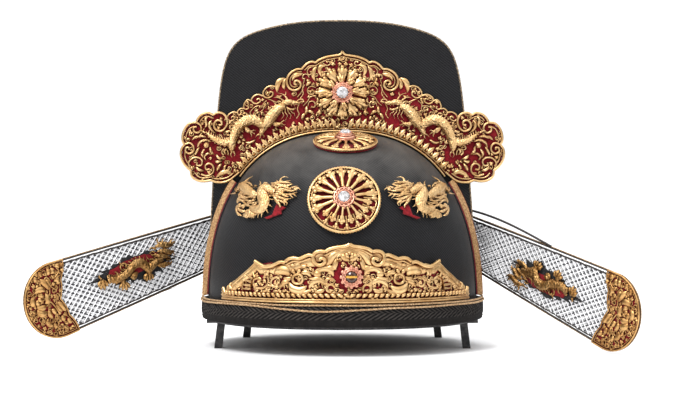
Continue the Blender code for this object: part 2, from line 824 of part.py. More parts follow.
def make_brow():
    """Brow plaque with its felt and its round stone."""
    outline, holes = brow_outlines()
    felt = sheet_mesh([inset(outline, -BROW_FELT_MARGIN)], FELT, DRAPE_GAP)
    for vertex in felt.vertices:
        vertex.co.y = max(vertex.co.y, 0)
    rise = BROW_HEIGHT / 2
    add_object("brow_felt", place_mesh(split(felt, BEND, rise), brow_place), RED_FELT)
    bottom = DRAPE_GAP * 2 + FELT
    plaque = sheet_mesh([outline, *holes], GILT, bottom)
    add_object("brow_plaque", place_mesh(split(plaque, BEND, rise), brow_place), GILT_METAL)
    base = brow_place(0, BROW_STONE_HEIGHT, bottom + GILT + GAP)
    turn = dome_normal(base).to_track_quat("Z", "Y")
    stone = setting_mesh(0.0, BROW_STONE_SCALE)
    add_object("brow_stone", place_mesh(stone, lambda x, y, z: base + turn @ Vector((x, y, z))), CRYSTAL)


# Cast dragons

# Flames round a dragon, anticlockwise from its head.
# Columns: turn in degrees, reach of the flame as a share of the length, reach of the gap after it.
FLAMES = (
    (0, 0.50, 0.36), (24, 0.44, 0.27), (48, 0.34, 0.20), (75, 0.27, 0.18), (102, 0.30, 0.20),
    (128, 0.36, 0.25), (152, 0.45, 0.33), (176, 0.50, 0.36), (200, 0.42, 0.27), (226, 0.32, 0.19),
    (254, 0.27, 0.17), (282, 0.29, 0.19), (308, 0.37, 0.26), (334, 0.43, 0.34),
)

# Middle line of a dragon's body, from the tail to the head.
# Columns: share along the length, share up, body radius as a share of the length.
DRAGON_SPINE = (
    (-0.40, 0.10, 0.018), (-0.30, -0.08, 0.030), (-0.17, -0.10, 0.040), (-0.05, 0.05, 0.045),
    (0.08, 0.12, 0.045), (0.18, 0.00, 0.040), (0.28, -0.03, 0.038), (0.38, 0.08, 0.050),
)


def dragon_outline(length, tall=1.0, margin=0.0):
    """Ragged outline of flames round a dragon."""
    outline = []
    for index, (turn, reach, gap) in enumerate(FLAMES):
        next_turn = FLAMES[(index + 1) % len(FLAMES)][0] or 360
        between = turn + (next_turn - turn) * 0.62
        for angle, share in ((turn, reach), (between, gap)):
            radians = math.radians(angle)
            distance = share * length - margin
            outline.append((distance * math.cos(radians), distance * math.sin(radians) * tall))
    return outline


def dragon_mesh(length, tall=1.0, bottom=0.0):
    """Dragon: a flame-edged sheet with the winding body raised on it."""
    sheet = sheet_mesh([dragon_outline(length, tall)], GILT, bottom)
    middle = bottom + GILT
    path = smooth_path([(x * length, y * length * tall, radius * length)
                        for x, y, radius in DRAGON_SPINE], DRAGON_STATIONS)
    curve = bpy.data.curves.new("body", "CURVE")
    curve.dimensions = "3D"
    curve.bevel_depth = 1.0
    curve.bevel_resolution = 1
    curve.use_fill_caps = True
    spline = curve.splines.new("POLY")
    spline.points.add(len(path) - 1)
    for knot, (x, y, radius) in zip(spline.points, path):
        knot.co = (x, y, middle, 1)
        knot.radius = radius
    source = bpy.data.objects.new("body", curve)
    CAP.objects.link(source)
    body = evaluated_mesh(source)
    for vertex in body.vertices:
        vertex.co.z = max(bottom + GILT * 0.4, middle + (vertex.co.z - middle) * 0.8)
    return join_solids(sheet, [body])


def make_dome_dragon(name, side):
    """Cast dragon with a scrap of felt, on the front of the dome."""
    point = front_centre(side * DOME_DRAGON_X, DOME_DRAGON_Z)
    seat = dome_seat(point, side * DOME_DRAGON_TILT)
    felt = sheet_mesh([dragon_outline(DOME_DRAGON_LENGTH * 0.86)], FELT, DRAPE_GAP)
    add_object(name + "_felt", place_mesh(split(felt, BEND, BEND), seat), RED_FELT)
    body = split(dragon_mesh(DOME_DRAGON_LENGTH, 1.0, DRAPE_GAP * 2 + FELT), BEND, BEND)
    add_object(name, place_mesh(body, lambda x, y, z: seat(-side * x, y, z)), GILT_METAL)


def make_crest_dragon(name, side):
    """Cast dragon on the crest, facing the rosette."""
    middle = Vector((side * CREST_DRAGON_X, CREST_DRAGON_Z))
    lean = -side * CREST_DRAGON_LEAN
    cos, sin = math.cos(lean), math.sin(lean)
    stand = crest_place(CREST_FRONT_LAYER)

    def place(x, y, height):
        x *= -side
        return stand(middle.x + x * cos - y * sin, middle.y + x * sin + y * cos, height)

    body = split(dragon_mesh(CREST_DRAGON_LENGTH, 0.72))
    add_object(name, place_mesh(body, place), GILT_METAL)


# Side wings

def wing_basis(side, sweep, droop, root_z):
    """Root, direction to the tip, direction up the wing and the direction that faces the front."""
    flat = Vector((side * math.cos(sweep), -math.sin(sweep), 0))
    outward = Vector((side * math.sin(sweep), math.cos(sweep), 0))
    power = PLAN_POWER / (PLAN_POWER - 1)
    lowest = root_z - WING_ROOT_HALF_WIDTH
    half_width = hood_half_width(lowest)
    wide = abs(half_width * outward.x)
    long = abs(CROWN_HALF_LENGTH * outward.y)
    reach = (wide ** power + long ** power) ** (1 / power)
    touch = Vector((side * half_width * (wide / reach) ** (power - 1) + hood_shift(lowest),
                    CROWN_HALF_LENGTH * (long / reach) ** (power - 1), root_z))
    root = touch + outward * (WING_WIRE_RADIUS + GAP)
    along = flat * math.cos(droop) - Vector((0, 0, math.sin(droop)))
    facing = -outward
    up = facing.cross(along) * side
    return root, along, up, facing


def wing_half_width(x):
    """Half width of a wing at a distance from its root, round at the tip."""
    straight = WING_LENGTH - WING_END_RADIUS
    if x <= straight:
        return WING_ROOT_HALF_WIDTH + (WING_END_RADIUS - WING_ROOT_HALF_WIDTH) * (x / straight) ** 0.8
    return math.sqrt(max(WING_END_RADIUS ** 2 - (x - straight) ** 2, 0))


def wing_stations(start, margin, steps=7, turns=6):
    """Upper edge of a wing from a start to its tip, moved in by a margin."""
    straight = WING_LENGTH - WING_END_RADIUS
    edge = []
    for step in range(steps):
        x = start + (straight - start) * step / steps
        edge.append((x, wing_half_width(x) - margin))
    radius = WING_END_RADIUS - margin
    for turn in range(turns + 1):
        angle = QUARTER * (1 - turn / turns)
        edge.append((straight + radius * math.cos(angle), radius * math.sin(angle)))
    return edge


def closed_wing(edge):
    """Outline of a wing from its upper edge."""
    return edge + [(x, -y) for x, y in reversed(edge[:-1])]


def make_wing(side, label, sweep, droop, root_z):
    """One side wing: wire frame, gauze panel, openwork end plaque with felt, and a dragon."""
    root, along, up, facing = wing_basis(side, sweep, droop, root_z)

    def place(x, y, height):
        return root + along * x + up * y + facing * height

    frame_edge = closed_wing(wing_stations(0.0, WING_WIRE_RADIUS))
    points = [place(x, y, 0) for x, y in frame_edge]
    wire("wing_frame_" + label, points, WING_WIRE_RADIUS, OLD_GILT, cyclic=True, sides=1)

    inside = WING_WIRE_RADIUS * 2 + GAP * 2
    back = -WING_NET_THICKNESS / 2
    net = sheet_mesh([closed_wing(wing_stations(WING_WIRE_RADIUS + GAP * 2, inside))], WING_NET_THICKNESS, back)
    add_object("wing_net_" + label, place_mesh(net, place), GAUZE)

    tip_start = WING_LENGTH - WING_TIP_LENGTH
    front = WING_NET_THICKNESS / 2 + GAP
    tip_edge = wing_stations(tip_start, inside, steps=2)
    notch = (tip_start + WING_TIP_NOTCH, 0.0)
    lobe = tip_edge[0][1] * 0.5
    near = [(tip_start + WING_TIP_NOTCH * 0.35, -lobe), notch, (tip_start + WING_TIP_NOTCH * 0.35, lobe)]
    tip_outline = closed_wing(tip_edge) + near
    felt = sheet_mesh([inset(tip_outline, WING_WIRE_RADIUS)], FELT * 0.8, front)
    add_object("wing_tip_felt_" + label, place_mesh(felt, place), RED_FELT)
    holes = []
    middle = (WING_LENGTH - WING_END_RADIUS * 0.72, 0.0)
    for step in range(WING_TIP_GAPS):
        angle = (step + 0.5) * math.tau / WING_TIP_GAPS
        radius = WING_END_RADIUS * 0.42
        centre = (middle[0] + radius * math.cos(angle) * 0.9, radius * math.sin(angle))
        holes.append(leaf_hole(centre, WING_END_RADIUS * 0.30, WING_END_RADIUS * 0.15, angle + 1.1))
    layer = front + FELT * 0.8 + GAP
    plaque = sheet_mesh([tip_outline, *holes], GILT, layer)
    add_object("wing_tip_" + label, place_mesh(plaque, place), OLD_GILT)

    centre = WING_LENGTH - WING_DRAGON_FROM_TIP
    scrap = sheet_mesh([dragon_outline(WING_DRAGON_LENGTH * 0.88, 0.8)], FELT * 0.8, front)
    add_object("wing_dragon_felt_" + label,
               place_mesh(scrap, lambda x, y, z: place(x + centre, y, z)), RED_FELT)
    dragon = split(dragon_mesh(WING_DRAGON_LENGTH, 0.8, layer))
    add_object("wing_dragon_" + label,
               place_mesh(dragon, lambda x, y, z: place(centre - x, y, z)), OLD_GILT)


# Stand

def make_stand():
    """Plain hoop inside the band, with four splayed legs and a ledge on each under the band."""
    outer = -CLOTH_WALL - HOOP_CLEARANCE
    inner = outer - HOOP_THICKNESS
    bottom = BAND_BOTTOM_Z - GAP - LEDGE_THICKNESS
    corners = ((outer, bottom), (outer, bottom + HOOP_HEIGHT), (inner, bottom + HOOP_HEIGHT), (inner, bottom))

    def place(u, v):
        margin, z = corners[round(v * 4) % 4]
        x, y = plan_point(u * math.tau, margin)
        return Vector((x, y, z))

    hoop = mapped_grid("hoop", 36, 4, place, DARK_STEEL)
    base = hoop.data.copy()
    bpy.data.objects.remove(hoop, do_unlink=True)
    solids = []
    for side in (-1, 1):
        for y in (FRONT_LEG_Y, REAR_LEG_Y):
            share = ((abs(y) + LEG_WIDTH / 2) / (CROWN_HALF_LENGTH + outer)) ** PLAN_POWER
            x_out = (CROWN_HALF_WIDTH + outer) * (1 - share) ** (1 / PLAN_POWER) - GAP
            solids.append(leg_mesh(side, x_out, y, bottom))
            solids.append(ledge_mesh(side, x_out, y, bottom))
    add_object("stand", join_solids(base, solids), DARK_STEEL)


def box_mesh(low, high):
    """Closed box between two corners."""
    shape = bmesh.new()
    bmesh.ops.create_cube(shape, size=1)
    size = Vector(high) - Vector(low)
    middle = (Vector(high) + Vector(low)) / 2
    bmesh.ops.transform(shape, matrix=Matrix.Translation(middle) @ Matrix.Diagonal((*size, 1)),
                        verts=shape.verts)
    mesh = bpy.data.meshes.new("box")
    shape.to_mesh(mesh)
    shape.free()
    return mesh


def leg_mesh(side, x_out, y, bottom):
    """Leg from the hoop to the floor, splayed outwards."""
    top = bottom + HOOP_HEIGHT * 0.5
    mesh = box_mesh((x_out - LEG_DEPTH, y - LEG_WIDTH / 2, 0), (x_out, y + LEG_WIDTH / 2, top))
    for vertex in mesh.vertices:
        vertex.co.x += LEG_SPLAY * (1 - vertex.co.z / bottom) if vertex.co.z < bottom else 0
        vertex.co.x *= side
    return place_mesh(mesh, lambda x, y, z: Vector((x, y, z)))


def ledge_mesh(side, x_out, y, bottom):
    """Ledge that carries the band, out from the head of a leg."""
    reach = x_out + HOOP_CLEARANCE + CLOTH_WALL + BAND_THICKNESS
    mesh = box_mesh((x_out - LEG_DEPTH * 0.6, y - LEG_WIDTH * 0.4, bottom - 0.0002),
                    (reach, y + LEG_WIDTH * 0.4, bottom + LEDGE_THICKNESS))
    return place_mesh(mesh, lambda x, y, z: Vector((x * side, y, z)))


# Whole cap

def centre_on_floor():
    """Hang every piece on one empty, which puts the middle of the whole box over the origin."""
    bpy.context.view_layer.update()
    graph = bpy.context.evaluated_depsgraph_get()
    pieces = [item for item in CAP.objects if item.type == "MESH"]
    low = Vector((1e9, 1e9))
    high = Vector((-1e9, -1e9))
    for item in pieces:
        mesh = item.evaluated_get(graph).to_mesh()
        for vertex in mesh.vertices:
            low = Vector((min(low.x, vertex.co.x), min(low.y, vertex.co.y)))
            high = Vector((max(high.x, vertex.co.x), max(high.y, vertex.co.y)))
        item.evaluated_get(graph).to_mesh_clear()
    middle = (low + high) / 2
    frame = bpy.data.objects.new("cap_frame", None)
    CAP.objects.link(frame)
    frame.location = (-middle.x, -middle.y, 0)
    for item in pieces:
        item.parent = frame


def build():
    """Make every piece of the cap and its stand."""
    make_front_crown()
    make_rear_crown()
    make_head_band()
    make_band_cords()
    make_side_trim("side_trim_left", -1)
    make_side_trim("side_trim_right", 1)
    make_edge_wire()
    make_crest()
    make_rosette()
    make_crest_dragon("crest_dragon_left", -1)
    make_crest_dragon("crest_dragon_right", 1)
    front_point = front_centre(FRONT_MEDALLION_X, FRONT_MEDALLION_Z)
    make_medallion("front", FRONT_MEDALLION_RADIUS, FRONT_PETALS, front_point)
    top_point = meet_dome(Vector((TOP_MEDALLION_X, TOP_MEDALLION_Y, RIDGE_Z)), Vector((0, 0, 1)))
    make_medallion("top", TOP_MEDALLION_RADIUS, TOP_PETALS, top_point, TOP_COLLAR)
    make_brow()
    make_dome_dragon("dome_dragon_left", -1)
    make_dome_dragon("dome_dragon_right", 1)
    make_wing(-1, "left", WING_SWEEP_LEFT, WING_DROOP_LEFT, WING_ROOT_Z_LEFT)
    make_wing(1, "right", WING_SWEEP_RIGHT, WING_DROOP_RIGHT, WING_ROOT_Z_RIGHT)
    make_stand()
    centre_on_floor()


build()
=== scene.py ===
"""Court official's winged cap on its stand, dressed for the picture.

The cap faces -Y, lengths are in metres and +Z is up. Each piece is shaped round the middle of the cap's
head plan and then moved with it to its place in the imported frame.
"""

from __future__ import annotations

import logging
import math
import random
from collections.abc import Callable, Iterable, Iterator, Sequence
from contextlib import contextmanager
from dataclasses import dataclass
from enum import Enum

import bpy
from mathutils import Matrix, Vector

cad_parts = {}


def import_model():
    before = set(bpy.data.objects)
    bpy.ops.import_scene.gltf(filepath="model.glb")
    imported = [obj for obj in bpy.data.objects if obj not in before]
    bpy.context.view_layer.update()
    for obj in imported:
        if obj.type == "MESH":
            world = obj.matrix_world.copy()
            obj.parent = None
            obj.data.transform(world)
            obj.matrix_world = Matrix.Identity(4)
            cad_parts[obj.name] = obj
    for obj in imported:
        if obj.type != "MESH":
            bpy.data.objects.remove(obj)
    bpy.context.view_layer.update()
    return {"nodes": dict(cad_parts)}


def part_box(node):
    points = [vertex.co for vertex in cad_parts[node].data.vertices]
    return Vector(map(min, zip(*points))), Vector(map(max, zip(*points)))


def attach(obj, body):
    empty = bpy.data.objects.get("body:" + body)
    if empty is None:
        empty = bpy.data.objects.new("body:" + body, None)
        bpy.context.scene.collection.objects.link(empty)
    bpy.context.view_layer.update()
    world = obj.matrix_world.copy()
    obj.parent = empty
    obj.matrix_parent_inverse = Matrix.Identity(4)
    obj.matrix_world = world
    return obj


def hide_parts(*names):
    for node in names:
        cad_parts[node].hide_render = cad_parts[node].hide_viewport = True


log = logging.getLogger("mandarin_cap")

Thing = bpy.types.Object
Socket = bpy.types.NodeSocket
Colour = tuple[float, float, float]
Flat = tuple[float, float]
Place = Callable[[float, float, float], Vector]
Chart = Callable[[float, float], Vector]

QUARTER = math.pi / 2
IDENTITY = Matrix.Identity(4)
MIRROR = Matrix.Diagonal((-1, 1, 1, 1))
# Gap between two pieces, gap under a piece bent over the cap, wall of a felt, and foot of a casting on it.
GAP = 0.0003
DRAPE_GAP = 0.0006
FELT = 0.001
CAST_LAYER = DRAPE_GAP + FELT

# Edges sharper than these angles, in degrees, stay sharp: on cloth, wound or cast metal, and stones.
SOFT = 50
ROUNDED = 80
FACETED = 15


class Side(Enum):
    """Side of the cap, as the viewer sees it."""

    LEFT = -1
    RIGHT = 1

    @property
    def word(self) -> str:
        """Name of the side, as node names end with it."""
        return self.name.lower()


# Modelling tools

def use_only(*things: Thing) -> None:
    """Select only these objects and make the first one active."""
    bpy.ops.object.select_all(action="DESELECT")
    for thing in things:
        thing.select_set(True)
    bpy.context.view_layer.objects.active = things[0]


@contextmanager
def editing(piece: Thing, picked: str = "SELECT") -> Iterator[None]:
    """Open a piece for editing, with all of it picked, or nothing with DESELECT."""
    use_only(piece)
    bpy.ops.object.mode_set(mode="EDIT")
    bpy.ops.mesh.select_all(action=picked)
    yield
    bpy.ops.object.mode_set(mode="OBJECT")


def signed_power(value: float, power: float) -> float:
    """Raise a number's size to a power and keep its sign."""
    return math.copysign(abs(value) ** power, value)


def ray(angle: float) -> Vector:
    """Flat direction at an angle from +X."""
    return Vector((math.cos(angle), math.sin(angle)))


def limits(places: Iterable[Sequence[float]], axis: int) -> tuple[float, float]:
    """Lowest and highest place along an axis."""
    values = [place[axis] for place in places]
    return min(values), max(values)


def edges(outline: Sequence[Flat]) -> Iterable[tuple[Flat, Flat]]:
    """Start and end of each edge of a closed outline."""
    return zip(outline, [*outline[1:], outline[0]])


def signed_area(outline: Sequence[Flat]) -> float:
    """Area of a closed outline, below 0 where it runs clockwise."""
    return sum(x1 * y2 - x2 * y1 for (x1, y1), (x2, y2) in edges(outline)) / 2


def raised(outline: Iterable[Flat], height: float) -> list[Vector]:
    """Points of an outline at a height."""
    return [Vector((x, y, height)) for x, y in outline]


def over(place: Place, layer: float) -> Place:
    """Place function of a layer that lies higher than another by its height."""
    return lambda x, y, height: place(x, y, height + layer)


def across_and_up(out: Vector) -> tuple[Vector, Vector]:
    """Level direction and rising direction of the plane that faces a direction."""
    across = Vector((0, 0, 1)).cross(out).normalized()
    return across, out.cross(across)


def level_seat(base: Vector, out: Vector) -> Place:
    """Place function of a flat seat at a point, facing a direction."""
    across, up = across_and_up(out)
    return lambda x, y, height: base + across * x + up * y + out * height


def mapped_grid(name: str, columns: int, rows: int, chart: Chart, cloth: Chart | None = None) -> Thing:
    """Lay a grid on a curved surface.

    Args:
        name: Name of the piece.
        columns: Number of faces along u.
        rows: Number of faces along v.
        chart: Gives the point of the surface at u and v, both from 0 to 1.
        cloth: Gives the place in the cloth, in metres, for the UV map.

    Returns:
        The grid, with doubled points merged and faces turned outwards.
    """
    bpy.ops.object.select_all(action="DESELECT")
    bpy.ops.mesh.primitive_grid_add(x_subdivisions=columns, y_subdivisions=rows, size=1)
    piece = bpy.context.object
    piece.name = name
    spots = [(vertex.co.x + 0.5, vertex.co.y + 0.5) for vertex in piece.data.vertices]
    if cloth is not None:
        places = [cloth(*spot) for spot in spots]
        layer = piece.data.uv_layers[0].data
        for loop in piece.data.loops:
            layer[loop.index].uv = places[loop.vertex_index][:2]
    for vertex, spot in zip(piece.data.vertices, spots):
        vertex.co = chart(*spot)
    clean(piece, 1e-5)
    return piece


def clean(piece: Thing, merge: float = 1e-6) -> None:
    """Merge points of a piece that lie closer than a distance, and turn its faces outwards."""
    with editing(piece):
        bpy.ops.mesh.remove_doubles(threshold=merge)
        bpy.ops.mesh.normals_make_consistent(inside=False)


def thicken(piece: Thing, wall: float) -> None:
    """Give an open surface its wall on the inside, with an applied Solidify.

    Args:
        piece: Surface with its faces turned outwards.
        wall: Thickness of the wall.
    """
    shell = piece.modifiers.new("wall", "SOLIDIFY")
    shell.thickness = wall
    shell.offset = -1
    shell.use_even_offset = True
    use_only(piece)
    bpy.ops.object.modifier_apply(modifier=shell.name)


@dataclass
class Strand:
    """Run of points with a radius at each, swept to a round wire.

    Attributes:
        points: Points of the middle line.
        radii: One radius, or one for each point.
        closed: Whether the run joins up with its start.
    """

    points: Sequence[Vector]
    radii: list[float]
    closed: bool = False

    def widths(self) -> list[float]:
        """Radius at each point."""
        return self.radii if len(self.radii) > 1 else self.radii * len(self.points)


def poly_curve(name: str, lines: Iterable[Sequence[Sequence[float]]]) -> bpy.types.Curve:
    """Draw a curve of closed splines, straight from point to point.

    Args:
        name: Name of the curve.
        lines: Points of each spline.

    Returns:
        The curve.
    """
    curve = bpy.data.curves.new(name, "CURVE")
    for line in lines:
        spline = curve.splines.new("POLY")
        spline.points.add(len(line) - 1)
        spline.points.foreach_set("co", [value for point in line for value in (*point, 1.0)])
        spline.use_cyclic_u = True
    return curve


def meshed(name: str, curve: bpy.types.Curve) -> Thing:
    """Turn a curve into a named mesh object."""
    piece = bpy.data.objects.new(name, curve)
    bpy.context.scene.collection.objects.link(piece)
    use_only(piece)
    bpy.ops.object.convert(target="MESH")
    return bpy.context.object


def tubes(name: str, strands: Sequence[Strand], resolution: int = 1) -> Thing:
    """Sweep strands to tapered wires in one mesh.

    Args:
        name: Name of the piece.
        strands: Runs to sweep.
        resolution: Fineness of the wires' sections: 0 gives 4 sides, 1 gives 6 and 2 gives 8.

    Returns:
        The mesh of all the wires.
    """
    curve = poly_curve(name, [strand.points for strand in strands])
    curve.dimensions = "3D"
    curve.bevel_depth = 1.0
    curve.bevel_resolution = resolution
    curve.use_fill_caps = True
    for spline, strand in zip(curve.splines, strands):
        spline.points.foreach_set("radius", strand.widths())
        spline.use_cyclic_u = strand.closed
    return meshed(name, curve)


def wires(name: str, strands: Sequence[Strand], resolution: int = 1) -> Thing:
    """Sweep strands to wires whose doubled points are merged."""
    piece = tubes(name, strands, resolution)
    clean(piece)
    return piece


def plate(name: str, outline: Sequence[Flat], thickness: float, bevel: float) -> Thing:
    """Cut a flat plate with rounded edges to an outline, its foot at height 0.

    Args:
        name: Name of the piece.
        outline: Closed outline.
        thickness: Thickness of the plate.
        bevel: Radius of its edges.

    Returns:
        The plate.
    """
    curve = poly_curve(name, [raised(outline, 0)])
    curve.dimensions = "2D"
    curve.fill_mode = "BOTH"
    curve.extrude = thickness / 2 - bevel
    curve.bevel_depth = bevel
    curve.bevel_resolution = 1
    curve.offset = -bevel
    piece = meshed(name, curve)
    piece.data.transform(Matrix.Translation((0, 0, thickness / 2)))
    clean(piece)
    return piece


def slice_up(piece: Thing, spacing: float) -> None:
    """Cut a flat piece at an even spacing across and up, so that it can bend.

    Args:
        piece: Piece to cut.
        spacing: Distance between the cuts, about.
    """
    for axis in (0, 1):
        low, high = limits((vertex.co for vertex in piece.data.vertices), axis)
        cuts = max(1, round((high - low) / spacing))
        normal = [float(axis == 0), float(axis == 1), 0.0]
        with editing(piece):
            for cut in range(1, cuts):
                level = low + (high - low) * cut / cuts
                bpy.ops.mesh.select_all(action="SELECT")
                bpy.ops.mesh.bisect(plane_co=[part * level for part in normal], plane_no=normal)


def stamped(name: str, pattern: Thing, spots: Iterable[Matrix]) -> Thing:
    """Copy a modelled pattern to each spot, each copy with its own mesh, and join the copies.

    Args:
        name: Name of the result.
        pattern: Piece to copy, which is then removed.
        spots: Place and scale of each copy.

    Returns:
        The joined copies.
    """
    copies = []
    for spot in spots:
        mesh = pattern.data.copy()
        mesh.transform(spot)
        copies.append(bpy.data.objects.new(name, mesh))
        bpy.context.scene.collection.objects.link(copies[-1])
    bpy.data.objects.remove(pattern, do_unlink=True)
    return joined(name, copies)


def joined(name: str, pieces: Sequence[Thing]) -> Thing:
    """Join pieces into the first and name the result."""
    use_only(*pieces)
    if len(pieces) > 1:
        bpy.ops.object.join()
    pieces[0].name = name
    return pieces[0]


def laid(piece: Thing, place: Place) -> Thing:
    """Move each point of a flat pattern to its place on the cap, turn the faces out and return the piece."""
    for vertex in piece.data.vertices:
        vertex.co = place(*vertex.co)
    with editing(piece):
        bpy.ops.mesh.normals_make_consistent(inside=False)
    return piece


def curved_run(points: Sequence[Sequence[float]], count: int) -> list[Vector]:
    """Read a smooth curve through points.

    Args:
        points: Points of two, three or four numbers, which are all smoothed.
        count: Number of points to return.

    Returns:
        The points along the curve.
    """
    knots = [Vector(point) for point in points]
    knots = [2 * knots[0] - knots[1], *knots, 2 * knots[-1] - knots[-2]]
    spans = len(knots) - 3
    run = []
    for step in range(count):
        at = min(step / (count - 1) * spans, spans - 1e-9)
        index = int(at)
        t = at - index
        a, b, c, d = knots[index:index + 4]
        run.append(0.5 * (2 * b + (c - a) * t + (2 * a - 5 * b + 4 * c - d) * t * t
                          + (3 * b - a - 3 * c + d) * t ** 3))
    return run


def even_run(points: Sequence[Vector], count: int) -> list[Vector]:
    """Read a number of points at even distances along a run of points.

    Args:
        points: Points of the run.
        count: Number of points to return.

    Returns:
        The points.
    """
    lengths = [0.0]
    for first, second in zip(points, points[1:]):
        lengths.append(lengths[-1] + (second - first).length)
    run = []
    index = 1
    for step in range(count):
        target = lengths[-1] * step / (count - 1)
        while index < len(points) - 1 and lengths[index] < target:
            index += 1
        span = lengths[index] - lengths[index - 1]
        part = (target - lengths[index - 1]) / span if span else 0.0
        run.append(points[index - 1].lerp(points[index], min(max(part, 0), 1)))
    return run


# Finishes

WHITE = (1, 1, 1)


class Shader:
    """Nodes of one material, added and linked round its Principled shader."""

    def __init__(self, name: str) -> None:
        """Start a material with this name."""
        self.material = bpy.data.materials.new(name)
        self.material.use_nodes = True
        self.tree = self.material.node_tree
        self.surface = self.tree.nodes["Principled BSDF"]

    def set(self, **values: float | Socket) -> None:
        """Set or link sockets of the Principled shader, named with underscores for spaces."""
        for name, value in values.items():
            self.feed(value, self.surface.inputs[name.replace("_", " ")])

    def feed(self, value: float | Socket, target: Socket) -> None:
        """Link a socket to another, or set it to a number."""
        if isinstance(value, (int, float)):
            target.default_value = value
        else:
            self.tree.links.new(value, target)

    def add(self, kind: str, source: Socket | None = None, **values: object) -> bpy.types.Node:
        """Add a node and set it up.

        Args:
            kind: Type of the node, without its first word.
            source: What feeds its first socket.
            values: Properties, and sockets with underscores for spaces.

        Returns:
            The node.
        """
        node = self.tree.nodes.new("ShaderNode" + kind)
        if source is not None:
            self.feed(source, node.inputs[0])
        for name, value in values.items():
            if hasattr(node, name):
                setattr(node, name, value)
            else:
                node.inputs[name.replace("_", " ")].default_value = value
        return node

    def noise(self, source: Socket, scale: float, detail: float = 3.0) -> Socket:
        """Return the value of a noise at this scale."""
        return self.add("TexNoise", source, Scale=scale, Detail=detail).outputs["Fac"]

    def bands(self, source: Socket, pitch: float, turn: float, blur: float = 0.0) -> Socket:
        """Return even bands with a pitch in metres, turned by an angle in degrees."""
        spin = self.add("Mapping", source, Rotation=(0, 0, math.radians(turn)))
        return self.add("TexWave", spin.outputs[0], wave_type="BANDS", bands_direction="X", Distortion=blur,
                        Scale=math.tau / 20 / pitch, Detail=1.0, Detail_Scale=1.0).outputs["Fac"]

    def mixed(self, share: Socket, low: Colour, high: Colour, start: float = 0.3, end: float = 0.7) -> Socket:
        """Return a colour between two, as a value goes from start to end."""
        ramp = self.add("ValToRGB", share)
        for stop, place, colour in zip(ramp.color_ramp.elements, (start, end), (low, high)):
            stop.position = place
            stop.color = (*colour, 1)
        return ramp.outputs["Color"]

    def maths(self, operation: str, first: float | Socket, second: float | Socket = 0.0) -> Socket:
        """Return the result of an operation on two values."""
        node = self.add("Math", operation=operation)
        self.feed(first, node.inputs[0])
        self.feed(second, node.inputs[1])
        return node.outputs[0]

    def plus(self, first: float | Socket, second: float | Socket) -> Socket:
        """Return the sum of two values."""
        return self.maths("ADD", first, second)

    def times(self, first: float | Socket, second: float | Socket) -> Socket:
        """Return the product of two values."""
        return self.maths("MULTIPLY", first, second)

    def blended(self, share: float | Socket, first: Socket, second: Socket | Colour,
                kind: str = "MIX") -> Socket:
        """Blend two colours.

        Args:
            share: Share of the second colour.
            first: First colour.
            second: Second colour.
            kind: How they are blended.

        Returns:
            The blended colour.
        """
        node = self.add("Mix", data_type="RGBA", blend_type=kind)
        self.feed(share, node.inputs[0])
        self.feed(first, node.inputs[6])
        if isinstance(second, tuple):
            node.inputs[7].default_value = (*second, 1)
        else:
            self.feed(second, node.inputs[7])
        return node.outputs[2]

    def hollows(self, reach: float, samples: int) -> Socket:
        """Return how open the surface is: 1 in the open, less in hollows narrower than a reach; it masks
        painted shade.
        """
        return self.add("AmbientOcclusion", samples=samples, Distance=reach).outputs["AO"]

    def height(self, source: Socket) -> Socket:
        """Return the upward part of a vector."""
        return self.add("SeparateXYZ", source).outputs["Z"]

    def bump(self, height: Socket, distance: float, strength: float = 1.0) -> None:
        """Raise the surface by a height, over a distance in metres."""
        node = self.add("Bump", Distance=distance, Strength=strength)
        self.feed(height, node.inputs["Height"])
        self.set(Normal=node.outputs["Normal"])


@dataclass(frozen=True)
class Finish:
    """Material of a piece, painted with nodes, and the name of its slot."""

    name: str
    slot: str

    def build(self) -> bpy.types.Material:
        """Return the material."""
        shader = Shader(self.name)
        self.paint(shader, shader.add("TexCoord").outputs["Object"])
        return shader.material

    def paint(self, shader: Shader, where: Socket) -> None:
        """Set up the nodes; where is the place on the piece."""
        raise NotImplementedError


@dataclass(frozen=True)
class Gilding(Finish):
    """Worn gilt metal in brighter and duller patches, with painted shade that darkens and browns it in its
    hollows.
    """

    bright: Colour
    dull: Colour
    hollow: Colour
    roughness: float = 0.36
    hollow_depth: float = 0.0022
    scales: float = 0.0

    def paint(self, shader: Shader, where: Socket) -> None:
        """Gild it, with scales chased into the metal of a dragon.

        Args:
            shader: Shader that takes the nodes.
            where: Place on the piece, in metres.
        """
        patches = shader.noise(where, 160, 4)
        colour = shader.mixed(patches, self.dull, self.bright, 0.32, 0.6)
        # Painted shade: ambient occlusion darkens and browns the gilt in its hollows and gaps.
        occlusion_mask = shader.maths("POWER", shader.hollows(self.hollow_depth, 6), 1.6)
        painted_shade = shader.mixed(occlusion_mask, self.hollow, WHITE, 0.1, 0.85)
        shader.set(Metallic=1.0, Base_Color=shader.blended(1.0, colour, painted_shade, "MULTIPLY"),
                   Roughness=shader.plus(shader.times(patches, -0.3), self.roughness + 0.15))
        if self.scales:
            cells = shader.add("TexVoronoi", where, Scale=self.scales)
            crinkles = shader.times(shader.noise(where, 420, 3), 1.3)
            shader.bump(shader.maths("SUBTRACT", crinkles, cells.outputs["Distance"]), 0.0007, 0.8)
        else:
            shader.bump(shader.noise(where, 1500, 2), distance=0.0001, strength=0.35)


